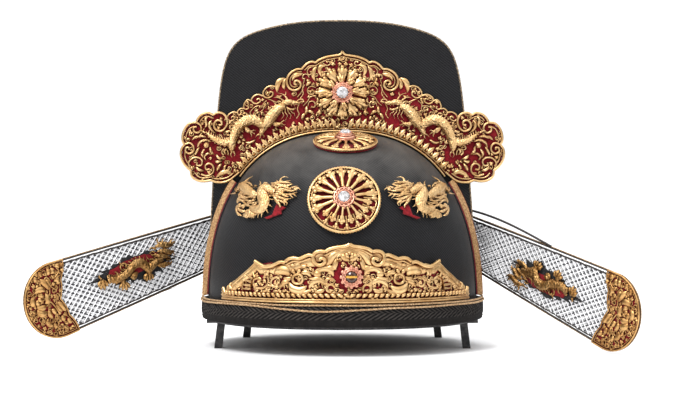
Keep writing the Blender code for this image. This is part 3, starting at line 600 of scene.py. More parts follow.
@dataclass(frozen=True)
class Horsehair(Finish):
    """Fine black horsehair cloth, woven on the slant, with a painted sheen, a paler colour, where it faces
    up.
    """

    dark: Colour = (0.0035, 0.0035, 0.004)
    light: Colour = (0.017, 0.017, 0.019)
    dust: Colour = (0.105, 0.099, 0.093)
    pitch: float = 0.0014
    slant: float = 52.0
    wander: float = 0.2

    def paint(self, shader: Shader, where: Socket) -> None:
        """Weave it along the cloth's own UV map.

        Args:
            shader: Shader that takes the nodes.
            where: Place on the piece, which the UV map replaces.
        """
        where = shader.add("UVMap").outputs["UV"]
        rising = shader.bands(where, self.pitch, -self.slant, self.wander)
        falling = shader.bands(where, self.pitch * 0.55, self.slant, self.wander)
        weave = shader.times(rising, shader.plus(shader.times(falling, 0.5), 0.5))
        patches = shader.noise(where, 60, 4)
        bare = shader.mixed(shader.times(weave, shader.plus(patches, 0.45)), self.dark, self.light, 0.0, 0.9)
        # Painted sheen: where the face turns up, the colour is blended to a pale grey-brown, for the light on
        # the dome's top.
        rise = shader.height(shader.add("NewGeometry").outputs["Normal"])
        sheen_share = shader.add("MapRange", shader.times(rise, shader.plus(patches, 0.5)), From_Min=0.45,
                             From_Max=1.15, To_Max=0.9)
        shader.set(Roughness=0.55, Sheen_Weight=0.03, Sheen_Roughness=0.4, Specular_IOR_Level=0.16,
                   Base_Color=shader.blended(sheen_share.outputs[0], bare, self.dust))
        shader.bump(weave, distance=0.00022, strength=0.6)


@dataclass(frozen=True)
class Braid(Finish):
    """Black silk braid, matte: slanted strokes above three cords, with worn brown threads."""

    cords_below: float = 0.0232
    middle: float = 0.0274
    pitch: float = 0.0019
    slant: float = 58.0
    dark: Colour = (0.003, 0.003, 0.003)
    worn: Colour = (0.046, 0.04, 0.037)

    def paint(self, shader: Shader, where: Socket) -> None:
        """Braid it: the strokes change their slant at the middle.

        Args:
            shader: Shader that takes the nodes.
            where: Place on the piece, in metres.
        """
        along = shader.add("UVMap").outputs["UV"]
        height = shader.height(where)
        upper = shader.maths("GREATER_THAN", height, self.middle)
        rising = shader.times(shader.bands(along, self.pitch, -self.slant), upper)
        lower = shader.maths("SUBTRACT", 1.0, upper)
        falling = shader.times(shader.bands(along, self.pitch, self.slant), lower)
        cords = shader.maths("LESS_THAN", height, self.cords_below)
        strokes = shader.times(shader.plus(rising, falling), shader.maths("SUBTRACT", 1.0, cords))
        tone = shader.times(shader.plus(strokes, shader.times(cords, 0.35)),
                            shader.plus(shader.noise(where, 260, 4), 0.4))
        shader.set(Roughness=0.75, Specular_IOR_Level=0.12,
                   Base_Color=shader.mixed(tone, self.dark, self.worn, 0.15, 0.95))
        shader.bump(shader.plus(tone, shader.noise(where, 2600, 2)), distance=0.0003, strength=0.7)


@dataclass(frozen=True)
class Felt(Finish):
    """Felted wool, with painted shade in the gaps of what lies on it."""

    dark: Colour
    light: Colour
    hollow: Colour = (0.22, 0.16, 0.16)

    def paint(self, shader: Shader, where: Socket) -> None:
        """Felt it.

        Args:
            shader: Shader that takes the nodes.
            where: Place on the piece, in metres.
        """
        fluff = shader.noise(where, 700, 4)
        colour = shader.mixed(fluff, self.dark, self.light)
        # Painted shade: ambient occlusion darkens the felt in the gaps of the metal laid on it.
        depth = shader.mixed(shader.hollows(reach=0.0035, samples=4), self.hollow, WHITE, 0.15, 0.95)
        shader.set(Roughness=0.95, Sheen_Weight=0.06, Sheen_Roughness=0.6, Specular_IOR_Level=0.2,
                   Base_Color=shader.blended(1.0, colour, depth, "MULTIPLY"))
        shader.bump(fluff, distance=0.0004, strength=0.6)


@dataclass(frozen=True)
class Thread(Finish):
    """Spun thread, cord or thread-bound wire, its colour mottled along it."""

    dark: Colour
    light: Colour
    roughness: float = 0.5
    metallic: float = 0.0

    def paint(self, shader: Shader, where: Socket) -> None:
        """Spin it."""
        mottle = shader.noise(where, 900, 3)
        shader.set(Roughness=self.roughness, Metallic=self.metallic,
                   Base_Color=shader.mixed(mottle, self.dark, self.light, 0.35, 0.65))
        shader.bump(mottle, distance=0.0001, strength=0.5)


@dataclass(frozen=True)
class CutStone(Finish):
    """Clear cut stone, silvery from its foil back."""

    dark: Colour = (0.42, 0.40, 0.39)
    light: Colour = (0.93, 0.93, 0.95)

    def paint(self, shader: Shader, where: Socket) -> None:
        """Polish it."""
        shader.set(Roughness=0.06, IOR=1.7, Transmission_Weight=0.35, Specular_IOR_Level=0.8,
                   Base_Color=shader.mixed(shader.noise(where, 420, 2), self.dark, self.light, 0.42, 0.58))


@dataclass(frozen=True)
class BandedStone(Finish):
    """Brown banded stone with a golden stripe across it."""

    middle_z: float
    stripe: float = 0.0009
    golden: Colour = (0.62, 0.33, 0.05)
    brown: Colour = (0.045, 0.014, 0.006)

    def paint(self, shader: Shader, where: Socket) -> None:
        """Band it."""
        away = shader.maths("ABSOLUTE", shader.maths("SUBTRACT", shader.height(where), self.middle_z))
        share = shader.maths("DIVIDE", away, self.stripe)
        wavy = shader.plus(share, shader.times(shader.noise(where, 900, 2), 0.5))
        shader.set(Roughness=0.12, Coat_Weight=0.5,
                   Base_Color=shader.mixed(wavy, self.golden, self.brown, 0.95, 1.35))


@dataclass(frozen=True)
class DarkPaint(Finish):
    """Dark satin paint on steel, a little scuffed."""

    dark: Colour = (0.018, 0.018, 0.019)
    scuffed: Colour = (0.075, 0.070, 0.068)

    def paint(self, shader: Shader, where: Socket) -> None:
        """Paint it."""
        scuffs = shader.noise(where, 320, 5)
        shader.set(Metallic=0.55, Base_Color=shader.mixed(scuffs, self.dark, self.scuffed, 0.4, 0.72),
                   Roughness=shader.plus(shader.times(scuffs, 0.3), 0.3))
        shader.bump(scuffs, distance=0.0002, strength=0.3)


@dataclass(frozen=True)
class PaleFloor(Finish):
    """Plain pale floor, matte."""

    colour: Colour = (0.93, 0.93, 0.94)

    def paint(self, shader: Shader, where: Socket) -> None:
        """Paint it."""
        low = tuple(part * 0.985 for part in self.colour)
        shader.set(Roughness=0.9, Base_Color=shader.mixed(shader.noise(where, 3, 2), low, self.colour))


CHASED_GOLD = Gilding("chased_gilding", "gilt_metal", (0.78, 0.53, 0.26), (0.56, 0.34, 0.14),
                      (0.26, 0.08, 0.04), 0.38, scales=780)
OLD_CHASED = Gilding("antique_chased_gilding", "old_gilt", (0.58, 0.34, 0.13), (0.34, 0.17, 0.05),
                     (0.16, 0.05, 0.025), 0.4, scales=780)
GOLD = Gilding("worn_gilding", "gilt_metal", (0.74, 0.50, 0.24), (0.54, 0.32, 0.13), (0.26, 0.08, 0.04))
OLD_GOLD = Gilding("antique_gilding", "old_gilt", (0.68, 0.41, 0.16), (0.42, 0.21, 0.07),
                   (0.20, 0.06, 0.03), 0.4)
COPPER = Gilding("pink_copper", "copper_setting", (0.80, 0.42, 0.29), (0.62, 0.26, 0.17),
                 (0.34, 0.09, 0.06), 0.34)
CLOTH = Horsehair("woven_horsehair_cloth", "woven_horsehair")
BLACK_BRAID = Braid("silk_braid", "black_braid")
RED_FELT = Felt("red_wool_felt", "red_felt", (0.12, 0.003, 0.006), (0.27, 0.008, 0.014))
BLACK_FELT = Felt("black_wool_felt", "black_felt", (0.008, 0.008, 0.009), (0.03, 0.029, 0.03))
RED_PIPING = Thread("red_piping", "red_felt", (0.10, 0.004, 0.008), (0.24, 0.012, 0.02), 0.8)
GOLD_CORD = Thread("gold_thread_cord", "gold_cord", (0.30, 0.17, 0.08), (0.62, 0.43, 0.24), 0.45, 0.4)
GILT_TAPE = Thread("gilt_thread_tape", "gilt_tape", (0.26, 0.13, 0.05), (0.60, 0.37, 0.17), 0.5, 0.35)
EDGE_BRASS = Thread("edge_wire_brass", "brass_wire", (0.12, 0.08, 0.05), (0.42, 0.31, 0.19), 0.5, 0.4)
PALE_THREAD = Thread("pale_silk_thread", "wing_gauze", (0.72, 0.72, 0.74), (0.93, 0.93, 0.95), 0.6)
GAUZE_THREAD = Thread("black_gauze_thread", "wing_gauze", (0.012, 0.012, 0.014), (0.13, 0.13, 0.14), 0.7)
BOUND_WIRE = Thread("black_bound_wire", "old_gilt", (0.010, 0.009, 0.009), (0.05, 0.04, 0.035), 0.6)
CRYSTAL = CutStone("clear_cut_stone", "crystal")
STEEL = DarkPaint("dark_painted_steel", "dark_steel")
OLD_THREAD = Thread("antique_gold_thread", "old_gilt", (0.16, 0.09, 0.04), (0.45, 0.30, 0.15), 0.5, 0.4)
STITCH_THREAD = Thread("stitch_thread", "brass_wire", (0.02, 0.018, 0.016), (0.10, 0.08, 0.06), 0.7)


class Palette:
    """Materials of the cap, each built once, when a piece first asks for it."""

    def __init__(self) -> None:
        """Start with no material built."""
        self.built: dict[str, bpy.types.Material] = {}

    def of(self, finish: Finish) -> bpy.types.Material:
        """Return the material of a finish."""
        if finish.name not in self.built:
            self.built[finish.name] = finish.build()
        return self.built[finish.name]


PALETTE = Palette()


# Shape of the cap

@dataclass(frozen=True)
class CapPlan:
    """Head plan, front dome and tall rear crown, on the outer face of their cloth."""

    half_width: float = 0.088
    half_length: float = 0.091
    plan_power: float = 2.15
    foot_z: float = 0.022
    ridge_z: float = 0.1405
    side_power: float = 2.45
    front_power: float = 3.55
    fall: float = 0.15
    seam_gap: float = 0.0007
    wall: float = 0.0012
    hood_top_z: float = 0.2137
    hood_top_half_width: float = 0.0752
    hood_taper_power: float = 1.5
    hood_lean: float = -0.0075
    hood_corner_power: float = 14
    hood_arch: float = 0.0158
    hood_arch_power: float = 2.5
    hood_back_share: float = 0.62
    hood_back_power: float = 2.6
    passage_margin: float = 0.0024

    def plan_point(self, turn: float, margin: float = 0.0) -> Vector:
        """Point (x, y) of the head plan; a turn of 0 faces the front and a quarter turn +X."""
        x = signed_power(math.sin(turn), 2 / self.plan_power) * (self.half_width + margin)
        y = -signed_power(math.cos(turn), 2 / self.plan_power) * (self.half_length + margin)
        return Vector((x, y))

    def dome_power(self, x: float, y: float) -> float:
        """How square the dome stands in the direction of a point."""
        turn = math.atan2(abs(x) / self.half_width, max(-y, 1e-9) / self.half_length)
        return self.side_power + (self.front_power - self.side_power) * math.cos(turn) ** 2

    def dome_height(self, y: float) -> float:
        """Height of the dome over its foot, which falls towards the front."""
        return self.ridge_z - self.foot_z + self.fall * min(y, 0)

    def dome_point(self, turn: float, rise: float) -> Vector:
        """Point of the dome; rise goes from 0 at the foot to a quarter turn at the ridge."""
        plan = self.plan_point(turn)
        power = self.dome_power(*plan)
        x, y = plan * max(math.cos(rise), 0) ** (2 / power)
        lift = math.sin(rise) ** (2 / power)
        return Vector((x, min(y, 0) - self.seam_gap, self.foot_z + self.dome_height(y) * lift))

    def dome_value(self, point: Vector) -> float:
        """Below 1 inside the dome, 1 on its face and more outside.

        Args:
            point: Point to test.

        Returns:
            The value.
        """
        x, y, z = point
        y += self.seam_gap
        power = self.dome_power(x, y)
        wide, long = abs(x) / self.half_width, abs(y) / self.half_length
        reach = (wide ** self.plan_power + long ** self.plan_power) ** (1 / self.plan_power)
        return reach ** power + (max(z - self.foot_z, 0) / self.dome_height(y)) ** power

    def dome_normal(self, point: Vector) -> Vector:
        """Outward direction of the dome's face at a point.

        Args:
            point: Point on the face.

        Returns:
            The direction, of length 1.
        """
        step = 1e-5
        slope = []
        for axis in range(3):
            ahead = point.copy()
            ahead[axis] += step
            behind = point.copy()
            behind[axis] -= step
            slope.append(self.dome_value(ahead) - self.dome_value(behind))
        return Vector(slope).normalized()

    def meet_dome(self, point: Vector, way: Vector, reach: float = 0.03) -> Vector:
        """Slide a point along a direction until it meets the dome's face.

        Args:
            point: Point to slide.
            way: Outward direction.
            reach: Furthest slide, in or out.

        Returns:
            The point on the face.
        """
        outer = reach
        inner = -reach
        for _ in range(26):
            middle = (outer + inner) / 2
            if self.dome_value(point + way * middle) > 1:
                outer = middle
            else:
                inner = middle
        return point + way * outer

    def front_centre(self, x: float, z: float) -> Vector:
        """Point of the dome's front at a place across and a height."""
        half = self.half_length / 2
        return self.meet_dome(Vector((x, -half, z)), Vector((0, -1, 0)), half)

    def arch_point(self, turn: float, margin: float = 0.0) -> Vector:
        """Point (x, z) of the dome's arch at the seam; turns run from 0 at the left foot to a half turn."""
        x = -signed_power(math.cos(turn), 2 / self.side_power) * (self.half_width + margin)
        lift = max(math.sin(turn), 0) ** (2 / self.side_power)
        return Vector((x, self.foot_z + (self.ridge_z - self.foot_z + margin) * lift))

    def hood_half_width(self, z: float) -> float:
        """Half width of the rear crown at a height."""
        share = max(z - self.foot_z, 0) / (self.hood_top_z - self.foot_z)
        return self.half_width - (self.half_width - self.hood_top_half_width) * share ** self.hood_taper_power

    def hood_outline(self, share: float) -> Vector:
        """Point (x, z) of the rear crown's front outline, from the left foot over the top to the right.

        Args:
            share: Share of the way round.

        Returns:
            The point.
        """
        side = share * 2 - 1
        angle = math.pi / 4 * (1 + signed_power((0.5 - abs(side)) * 2, 1.5))
        across = max(math.cos(angle), 0)
        up = math.sin(angle)
        power = self.hood_corner_power
        spread = (across ** power + up ** power) ** (1 / power)
        across /= spread
        height = self.hood_top_z - self.foot_z - self.hood_arch * across ** self.hood_arch_power
        z = self.foot_z + height * up / spread
        return Vector((math.copysign(across, side) * self.hood_half_width(z) + self.hood_shift(z), z))

    def hood_shift(self, z: float) -> float:
        """How far the rear crown leans to the side at a height."""
        return self.hood_lean * max(z - self.foot_z, 0)


class SurfaceMap:
    """Table of points and outward directions on the cloth, read between its stations."""

    def __init__(self, low: Flat, high: Flat, stations: tuple[int, int],
                 locate: Callable[[float, float], tuple[Vector, Vector]]) -> None:
        """Fill the table.

        Args:
            low: Lowest x and y of the pattern.
            high: Highest x and y of the pattern.
            stations: Number of spans along x and along y.
            locate: Gives the point on the cloth and the outward direction there.
        """
        self.low = low
        self.step = [(high[axis] - low[axis]) / stations[axis] for axis in range(2)]
        self.stations = stations
        self.table = [[locate(low[0] + column * self.step[0], low[1] + row * self.step[1])
                       for row in range(stations[1] + 1)] for column in range(stations[0] + 1)]

    def place(self, x: float, y: float, height: float) -> Vector:
        """Point over the cloth at a place of the pattern and a height.

        Args:
            x: Place across the pattern.
            y: Place up the pattern.
            height: Height over the cloth.

        Returns:
            The point.
        """
        at = []
        for axis, value in ((0, x), (1, y)):
            spans = (value - self.low[axis]) / self.step[axis]
            index = min(max(int(spans), 0), self.stations[axis] - 1)
            at.append((index, spans - index))
        (i, u), (j, v) = at
        point = Vector((0, 0, 0))
        way = Vector((0, 0, 0))
        for column, weight_u in ((i, 1 - u), (i + 1, u)):
            for row, weight_v in ((j, 1 - v), (j + 1, v)):
                spot, out = self.table[column][row]
                point += spot * (weight_u * weight_v)
                way += out * (weight_u * weight_v)
        return point + way.normalized() * height


@dataclass
class Workshop:
    """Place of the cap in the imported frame, and what every finished piece needs."""

    plan: CapPlan
    offset: Vector

    @classmethod
    def measured(cls, plan: CapPlan) -> Workshop:
        """Find the cap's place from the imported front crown."""
        low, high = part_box("front_crown")
        offset = Vector(((low.x + high.x) / 2, low.y + plan.half_length + plan.seam_gap, 0))
        log.info("cap offset %.4f %.4f", offset.x, offset.y)
        return cls(plan, offset)

    def finish(self, piece: Thing, finish: Finish, nodes: Sequence[str] = (), angle: float = SOFT) -> Thing:
        """Put a piece in its place, dress it and hand it over.

        Args:
            piece: Piece in the cap's own frame.
            finish: Its finish.
            nodes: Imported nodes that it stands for.
            angle: Edges sharper than this, in degrees, stay sharp.

        Returns:
            The finished piece.
        """
        piece.data.transform(Matrix.Translation(self.offset))
        piece.data.materials.clear()
        piece.data.materials.append(PALETTE.of(finish))
        use_only(piece)
        bpy.ops.object.shade_smooth_by_angle(angle=math.radians(angle))
        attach(piece, "root")
        if nodes:
            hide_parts(*nodes)
        log.info("%s: %d faces", piece.name, len(piece.data.polygons))
        return piece

    def lay_felt(self, name: str, outline: Sequence[Flat], place: Place, finish: Finish, node: str,
                 rests_on: str, wall: float = FELT, bends: bool = True) -> None:
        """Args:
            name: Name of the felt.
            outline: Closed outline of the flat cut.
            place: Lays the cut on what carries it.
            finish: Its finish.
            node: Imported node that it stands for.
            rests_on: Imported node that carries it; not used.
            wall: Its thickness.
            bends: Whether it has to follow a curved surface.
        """
        felt = plate(name, outline, wall, min(0.0002, wall / 4))
        if bends:
            slice_up(felt, 0.003)
        spans = [high - low for low, high in (limits(outline, 0), limits(outline, 1))]
        area = abs(signed_area(outline))
        self.finish(laid(felt, place), finish, [node])


# Cloth crowns, band and seams

def path_length(point: Callable[[float], Vector], steps: int = 12) -> float:
    """Length of a path, given its point at a share of it, in straight steps."""
    stops = [point(step / steps) for step in range(steps + 1)]
    return sum((after - before).length for before, after in zip(stops, stops[1:]))


@dataclass
class ClothCrowns:
    """Low front dome and tall rear crown of woven horsehair."""

    shop: Workshop
    dent: float = 0.0005

    def build(self) -> None:
        """Make both crowns."""
        self.make_front()
        self.make_rear()

    def make_front(self) -> None:
        """Weave the front dome."""
        plan = self.shop.plan

        def chart(u: float, v: float) -> Vector:
            """Point of the dome, slightly dented and rippled."""
            point = plan.dome_point((u * 2 - 1) * QUARTER, v * QUARTER)
            ripple = math.sin(point.x * 95 + 1.3) * math.sin(point.z * 70) * self.dent * min(v * 4, 1)
            if 0 < u < 1:
                point += plan.dome_normal(point) * (ripple - self.dent) * min(u * 8, (1 - u) * 8, 1)
            return point

        def cloth(u: float, v: float) -> Vector:
            """Place in the cloth, along the foot and up."""
            turn = (u * 2 - 1) * QUARTER
            plan_at = plan.plan_point(turn)
            reach = math.cos(v * QUARTER) ** (2 / plan.dome_power(*plan_at))
            run = path_length(lambda share: plan.plan_point(turn * share))
            rise = path_length(lambda share: plan.dome_point(0, v * QUARTER * share))
            return Vector((math.copysign(run * reach, turn), rise))

        piece = mapped_grid("front_crown_cloth", 96, 44, chart, cloth)
        thicken(piece, plan.wall)
        self.shop.finish(piece, CLOTH, ["front_crown"])

    def make_rear(self) -> None:
        """Weave the rear crown: its front panel round the passage, and its rounded back."""
        plan = self.shop.plan
        panel_rows = 6
        depths = 26

        def chart(u: float, v: float) -> Vector:
            """Point of the front panel in the first rows, and of the back in the others."""
            row = v * (panel_rows + depths)
            x, z = plan.hood_outline(u)
            if row <= panel_rows:
                inner = plan.arch_point(u * math.pi, -plan.passage_margin)
                share = row / panel_rows
                spot = Vector((inner.x, inner.y)).lerp(Vector((x, z)), share)
                return Vector((spot.x, 0, spot.y))
            turn = QUARTER * (1 + (row - panel_rows) / depths)
            across, back = plan.plan_point(turn)
            deep = max(back / plan.half_length, 0)
            round_off = max(1 - deep ** plan.hood_back_power, 0) ** (1 / plan.hood_back_power)
            low = plan.hood_back_share + (1 - plan.hood_back_share) * round_off
            return Vector((x * across / plan.half_width, back, plan.foot_z + (z - plan.foot_z) * low))

        def cloth(u: float, v: float) -> Vector:
            """Place in the cloth, which runs round the sides and over the top."""
            point = chart(u, v)
            return Vector((point.x + math.copysign(point.y, point.x) * 0.8, point.z + point.y * 0.6))

        piece = mapped_grid("rear_crown_cloth", 120, panel_rows + depths, chart, cloth)
        thicken(piece, plan.wall)
        self.shop.finish(piece, CLOTH, ["rear_crown"], 40)


@dataclass
class HeadBand:
    """Padded braid band and the two twisted gold cords laid round it."""

    shop: Workshop
    bottom_z: float = 0.0185
    top_z: float = 0.0315
    thickness: float = 0.0044
    cord_radius: float = 0.0007
    strokes: int = 118
    cord_share: float = 0.36

    def build(self) -> None:
        """Make the band and its cords."""
        self.make_band()
        self.make_cords()

    def relief(self, u: float, z_share: float) -> float:
        """Height of the braid, as a share of its depth: slanted strokes above and three cords below.

        Args:
            u: Share of the girth.
            z_share: Share of the band's height.

        Returns:
            The share of the depth.
        """
        if z_share < self.cord_share:
            twist = 0.9 + 0.1 * math.sin(u * math.tau * 420)
            return abs(math.sin(z_share / self.cord_share * 3 * math.pi)) ** 0.6 * twist
        height = (z_share - self.cord_share) / (1 - self.cord_share)
        slant = height * 2.6 if height < 0.5 else 2.6 - height * 2.6
        return 0.25 + 0.75 * abs(math.sin(math.pi * (u * self.strokes - slant))) ** 0.7

    def make_band(self) -> None:
        """Shape the padded band."""
        middle = (self.top_z + self.bottom_z) / 2
        half_height = (self.top_z - self.bottom_z) / 2
        half_depth = self.thickness / 2
        plan = self.shop.plan

        def chart(u: float, v: float) -> Vector:
            """Point of the band, with the relief of the braid on its outside."""
            angle = v * math.tau
            out = GAP * 2 + half_depth + signed_power(math.cos(angle), 0.6) * half_depth
            lift = signed_power(math.sin(angle), 0.6)
            outer = max(math.cos(angle), 0) ** 0.3
            share = (lift + 1) / 2
            out += (self.relief(u, share) - 0.8) * 0.0011 * outer
            x, y = plan.plan_point(u * math.tau, out)
            return Vector((x, y, middle + lift * half_height))

        girth = math.tau * (plan.half_width + plan.half_length) / 2

        def cloth(u: float, v: float) -> Vector:
            """Place in the braid, along the girth and up."""
            return Vector((u * girth, chart(u, v).z))

        piece = mapped_grid("padded_head_band", 1360, 34, chart, cloth)
        self.shop.finish(piece, BLACK_BRAID, ["head_band"], ROUNDED)

    def make_cords(self) -> None:
        """Twist the two cords round the top of the band."""
        # Columns: share of a whole turn from the front, height of the upper cord over the band's top in
        # shares of the cord's radius, and the same for the lower cord.
        wander = ((-0.50, 1.2, -2.6), (-0.32, 1.0, -2.4), (-0.24, 1.7, -0.6), (-0.20, 1.0, -1.2),
                  (-0.14, 1.4, -0.2), (-0.10, 1.3, -0.4), (-0.06, 0.8, -2.4), (-0.02, 1.1, -4.2),
                  (0.02, 1.0, -2.6), (0.05, 1.1, -1.4), (0.09, 1.6, -1.2), (0.13, 1.5, -0.6),
                  (0.18, 1.3, -1.0), (0.24, 1.6, -0.8), (0.32, 1.2, -2.2), (0.50, 1.2, -2.6))
        plan = self.shop.plan
        steps = 1500
        for column, name, node, reach in ((1, "gold_cord_upper", "band_cord_upper", 0.86),
                                          (2, "gold_cord_lower", "band_cord_lower", 1.2)):
            run = curved_run([(row[0], row[column], 0) for row in wander], steps)
            middle = []
            for share, height, _ in run:
                drop = min(max(-height, 0) / 4, 1)
                out = GAP * 2 + self.thickness * (reach if column == 1 else 1.02 + drop * 0.2)
                x, y = plan.plan_point(share * math.tau, out)
                middle.append(Vector((x, y, self.top_z + height * self.cord_radius)))
            cord = twisted_cord(name, middle[:-1], self.cord_radius, pitch=0.0021)
            self.shop.finish(cord, GOLD_CORD, [node], angle=70)


def twisted_cord(name: str, middle: Sequence[Vector], radius: float, pitch: float) -> Thing:
    """Twist two strands round a closed middle line.

    Args:
        name: Name of the cord.
        middle: Points of the closed middle line.
        radius: Outer radius of the cord.
        pitch: Length of one full twist.

    Returns:
        The cord.
    """
    points = even_run([*middle, middle[0]], len(middle) + 1)[:-1]
    count = len(points)
    length = sum((points[i] - points[i - 1]).length for i in range(count))
    turns = round(length / pitch)
    strands = []
    for phase in (0.0, math.pi):
        run = []
        for index in range(count):
            here = points[index]
            along = (points[(index + 1) % count] - points[index - 1]).normalized()
            side = along.cross(Vector((0, 0, 1))).normalized()
            up = side.cross(along)
            angle = index / count * turns * math.tau + phase
            run.append(here + (side * math.cos(angle) + up * math.sin(angle)) * radius * 0.48)
        strands.append(Strand(run, [radius * 0.56], True))
    return tubes(name, strands, 0)


# Cast relief

class Taper(Enum):
    """How the half width of a drawn line runs from its start to its end."""

    RAIL = "even, stout and raised"
    EVEN = "even"
    COMMA = "thin at the start, with a round end"
    LEAF = "pointed at both ends"
    SPIKE = "stout at the start and pointed at the end"
    BODY = "its own half width at each point"
    BEAD = "one round boss"

    def share(self, at: float) -> float:
        """Share of the greatest half width at a share of the line's length.

        Args:
            at: Share of the line's length.

        Returns:
            The share of the width.
        """
        if self is Taper.LEAF:
            return 0.18 + 0.82 * math.sin(math.pi * min(at * 1.12, 1)) ** 0.8 if at < 0.5 else (
                0.08 + 0.92 * math.sin(math.pi * at) ** 0.8)
        if self is Taper.SPIKE:
            return max(1 - at, 0.1) ** 0.8
        if self is Taper.COMMA:
            return 0.55 + 0.45 * at + (0.5 if at > 0.94 else 0)
        return 1.0


Row = tuple[Taper, float, tuple[float, ...]]
Spot = tuple[float, float, float]

RAIL, EVEN, COMMA, LEAF, SPIKE, BODY, BEAD = Taper


def drawn(*groups: tuple) -> tuple[Row, ...]:
    """Rows of a drawing, from groups of lines of one kind and one greatest half width, in millimetres."""
    return tuple((taper, width, numbers) for taper, width, *lines in groups for numbers in lines)


def knots(numbers: Sequence[float], taper: Taper = Taper.EVEN, unit: float = 0.001) -> list[Vector]:
    """Points of a drawn line, each of two numbers, or on a body line of three with its half width."""
    size = 3 if taper is BODY else 2
    return [Vector(numbers[index:index + size]) * unit for index in range(0, len(numbers), size)]


class Relief:
    """Cast relief that is drawn flat, line by line, then swept to metal and wrapped on the cap.

    Lines are given in millimetres, and all else is in metres.
    """

    def __init__(self, name: str, broad: float = 0.00125, flatness: float = 0.5) -> None:
        """Start an empty relief.

        Args:
            name: Name of the finished piece.
            broad: Half width from which a line is cast lower than it is wide.
            flatness: Height of such a line as a share of its half width.
        """
        self.name = name
        self.broad = broad
        self.flatness = flatness
        self.strands: list[Strand] = []
        self.beads: list[tuple[Vector, float, float]] = []

    def draw(self, rows: Iterable[Row], turn: Matrix = IDENTITY, lift: float = 0.0,
             scale: float = 1.0) -> None:
        """Draw rows of lines.

        Args:
            rows: Kind of line, greatest half width and points, all in millimetres.
            turn: Flat placing of the rows, in metres.
            lift: Height of the relief's foot.
            scale: Scale of the rows.
        """
        unit = scale / 1000
        for taper, width, numbers in rows:
            points = knots(numbers, taper, unit)
            if taper is BEAD:
                self.bead(points[0], width * scale / 1000, turn, lift)
            else:
                self.line(points, width * scale / 1000, taper, turn, lift)

    def line(self, points: Sequence[Vector], width: float, taper: Taper, turn: Matrix = IDENTITY,
             lift: float = 0.0) -> None:
        """Draw one line, all in metres.

        Args:
            points: Points of the line, a body line's with its half width as third number.
            width: Greatest half width.
            taper: How the half width runs.
            turn: Flat placing.
            lift: Height of its foot.
        """
        run = curved_run(points, 3 * len(points)) if len(points) > 2 else even_run(points, 4)
        if taper is BODY:
            radii = [point.z for point in run]
        else:
            radii = [width * taper.share(step / (len(run) - 1)) for step in range(len(run))]
        share = self.flatness if max(radii) > self.broad else 1.0
        height = 1.25 if taper is RAIL else 0.8
        placed = []
        for point, radius in zip(run, radii):
            spot = turn @ Vector((point.x, point.y, 0))
            placed.append(Vector((spot.x, spot.y, radius * height + (lift + spot.z) / share)))
        self.strands.append(Strand(placed, radii))

    def bead(self, point: Vector, radius: float, turn: Matrix = IDENTITY, lift: float = 0.0,
             squash: float = 0.6) -> None:
        """Set one round boss.

        Args:
            point: Its middle.
            radius: Its radius.
            turn: Flat placing.
            lift: Height of its foot.
            squash: Its height as a share of its width.
        """
        spot = turn @ Vector((point.x, point.y, 0))
        self.beads.append((Vector((spot.x, spot.y, lift + radius * squash * 0.5)), radius, squash))

    def rail(self, points: Sequence[Vector], width: float, closed: bool = False) -> None:
        """Draw a line of even half width through points with their own heights."""
        self.strands.append(Strand(points, [width], closed))

    def ring(self, radius: float, width: float, lift: float = 0.0, count: int = 48) -> None:
        """Draw an even ring round the middle.

        Args:
            radius: Radius of the ring.
            width: Half width of its line.
            lift: Height of its foot.
            count: Number of its points.
        """
        share = self.flatness if width > self.broad else 1.0
        circle = [ray(step * math.tau / count) * radius for step in range(count)]
        self.rail(raised(circle, width * 0.8 + lift / share), width, True)

    def marks(self) -> list[Spot]:
        """Places and half widths that the relief covers so far."""
        spots = [(point.x, point.y, radius) for strand in self.strands
                 for point, radius in zip(strand.points, strand.widths())]
        return spots + [(point.x, point.y, radius) for point, radius, _ in self.beads]

    def fill(self, edge: Sequence[Flat], spacing: float, seed: int, size: float, margin: float,
             clear: Sequence[Spot] = ()) -> None:
        """Fill the gaps inside an outline with small curls and leaves.

        Args:
            edge: Outline of the region.
            spacing: Mean distance between the fillings.
            seed: Start of the seeded scatter.
            size: Size of the fillings, 1 for curls of about 4 mm.
            margin: Least distance from a filling's middle to what is there already.
            clear: Further places, with half widths, that stay free.
        """
        dice = random.Random(seed)
        crowd = Crowd([*self.marks(), *clear], margin)
        (left, right), (y, top) = limits(edge, 0), limits(edge, 1)
        while y < top:
            x = left
            while x < right:
                spot = (x + dice.uniform(-0.3, 0.3) * spacing, y + dice.uniform(-0.3, 0.3) * spacing)
                angle = dice.uniform(0, math.tau)
                kind = dice.random()
                hand = dice.choice((-1, 1))
                x += spacing
                if inside(spot, edge) and not crowd.reaches(spot):
                    turn = (Matrix.Translation((*spot, 0)) @ Matrix.Rotation(angle, 4, "Z")
                            @ Matrix.Diagonal((1, hand, 1, 1)))
                    self.draw(CURL if kind < 0.4 else SPRIG if kind < 0.75 else LEAFLET, turn, 0.0, size)
            y += spacing * 0.9

    def cast(self, place: Place) -> Thing:
        """Sweep the lines to metal, wrap them on the cap and return the piece.

        Args:
            place: Where a point of the drawing lies on the cap.

        Returns:
            The piece.
        """
        pieces = []
        for wide, share in ((False, 1.0), (True, self.flatness)):
            chosen = [strand for strand in self.strands if (max(strand.radii) > self.broad) is wide]
            if chosen:
                piece = tubes(self.name, chosen)
                for vertex in piece.data.vertices:
                    vertex.co.z *= share
                pieces.append(piece)
        if self.beads:
            spots = [Matrix.Translation(point) @ Matrix.Diagonal((radius, radius, radius * squash, 1))
                     for point, radius, squash in self.beads]
            bpy.ops.object.select_all(action="DESELECT")
            bpy.ops.mesh.primitive_ico_sphere_add(subdivisions=2, radius=1)
            pieces.append(stamped(self.name, bpy.context.object, spots))
        piece = joined(self.name, pieces)
        clean(piece)
        return laid(piece, place)


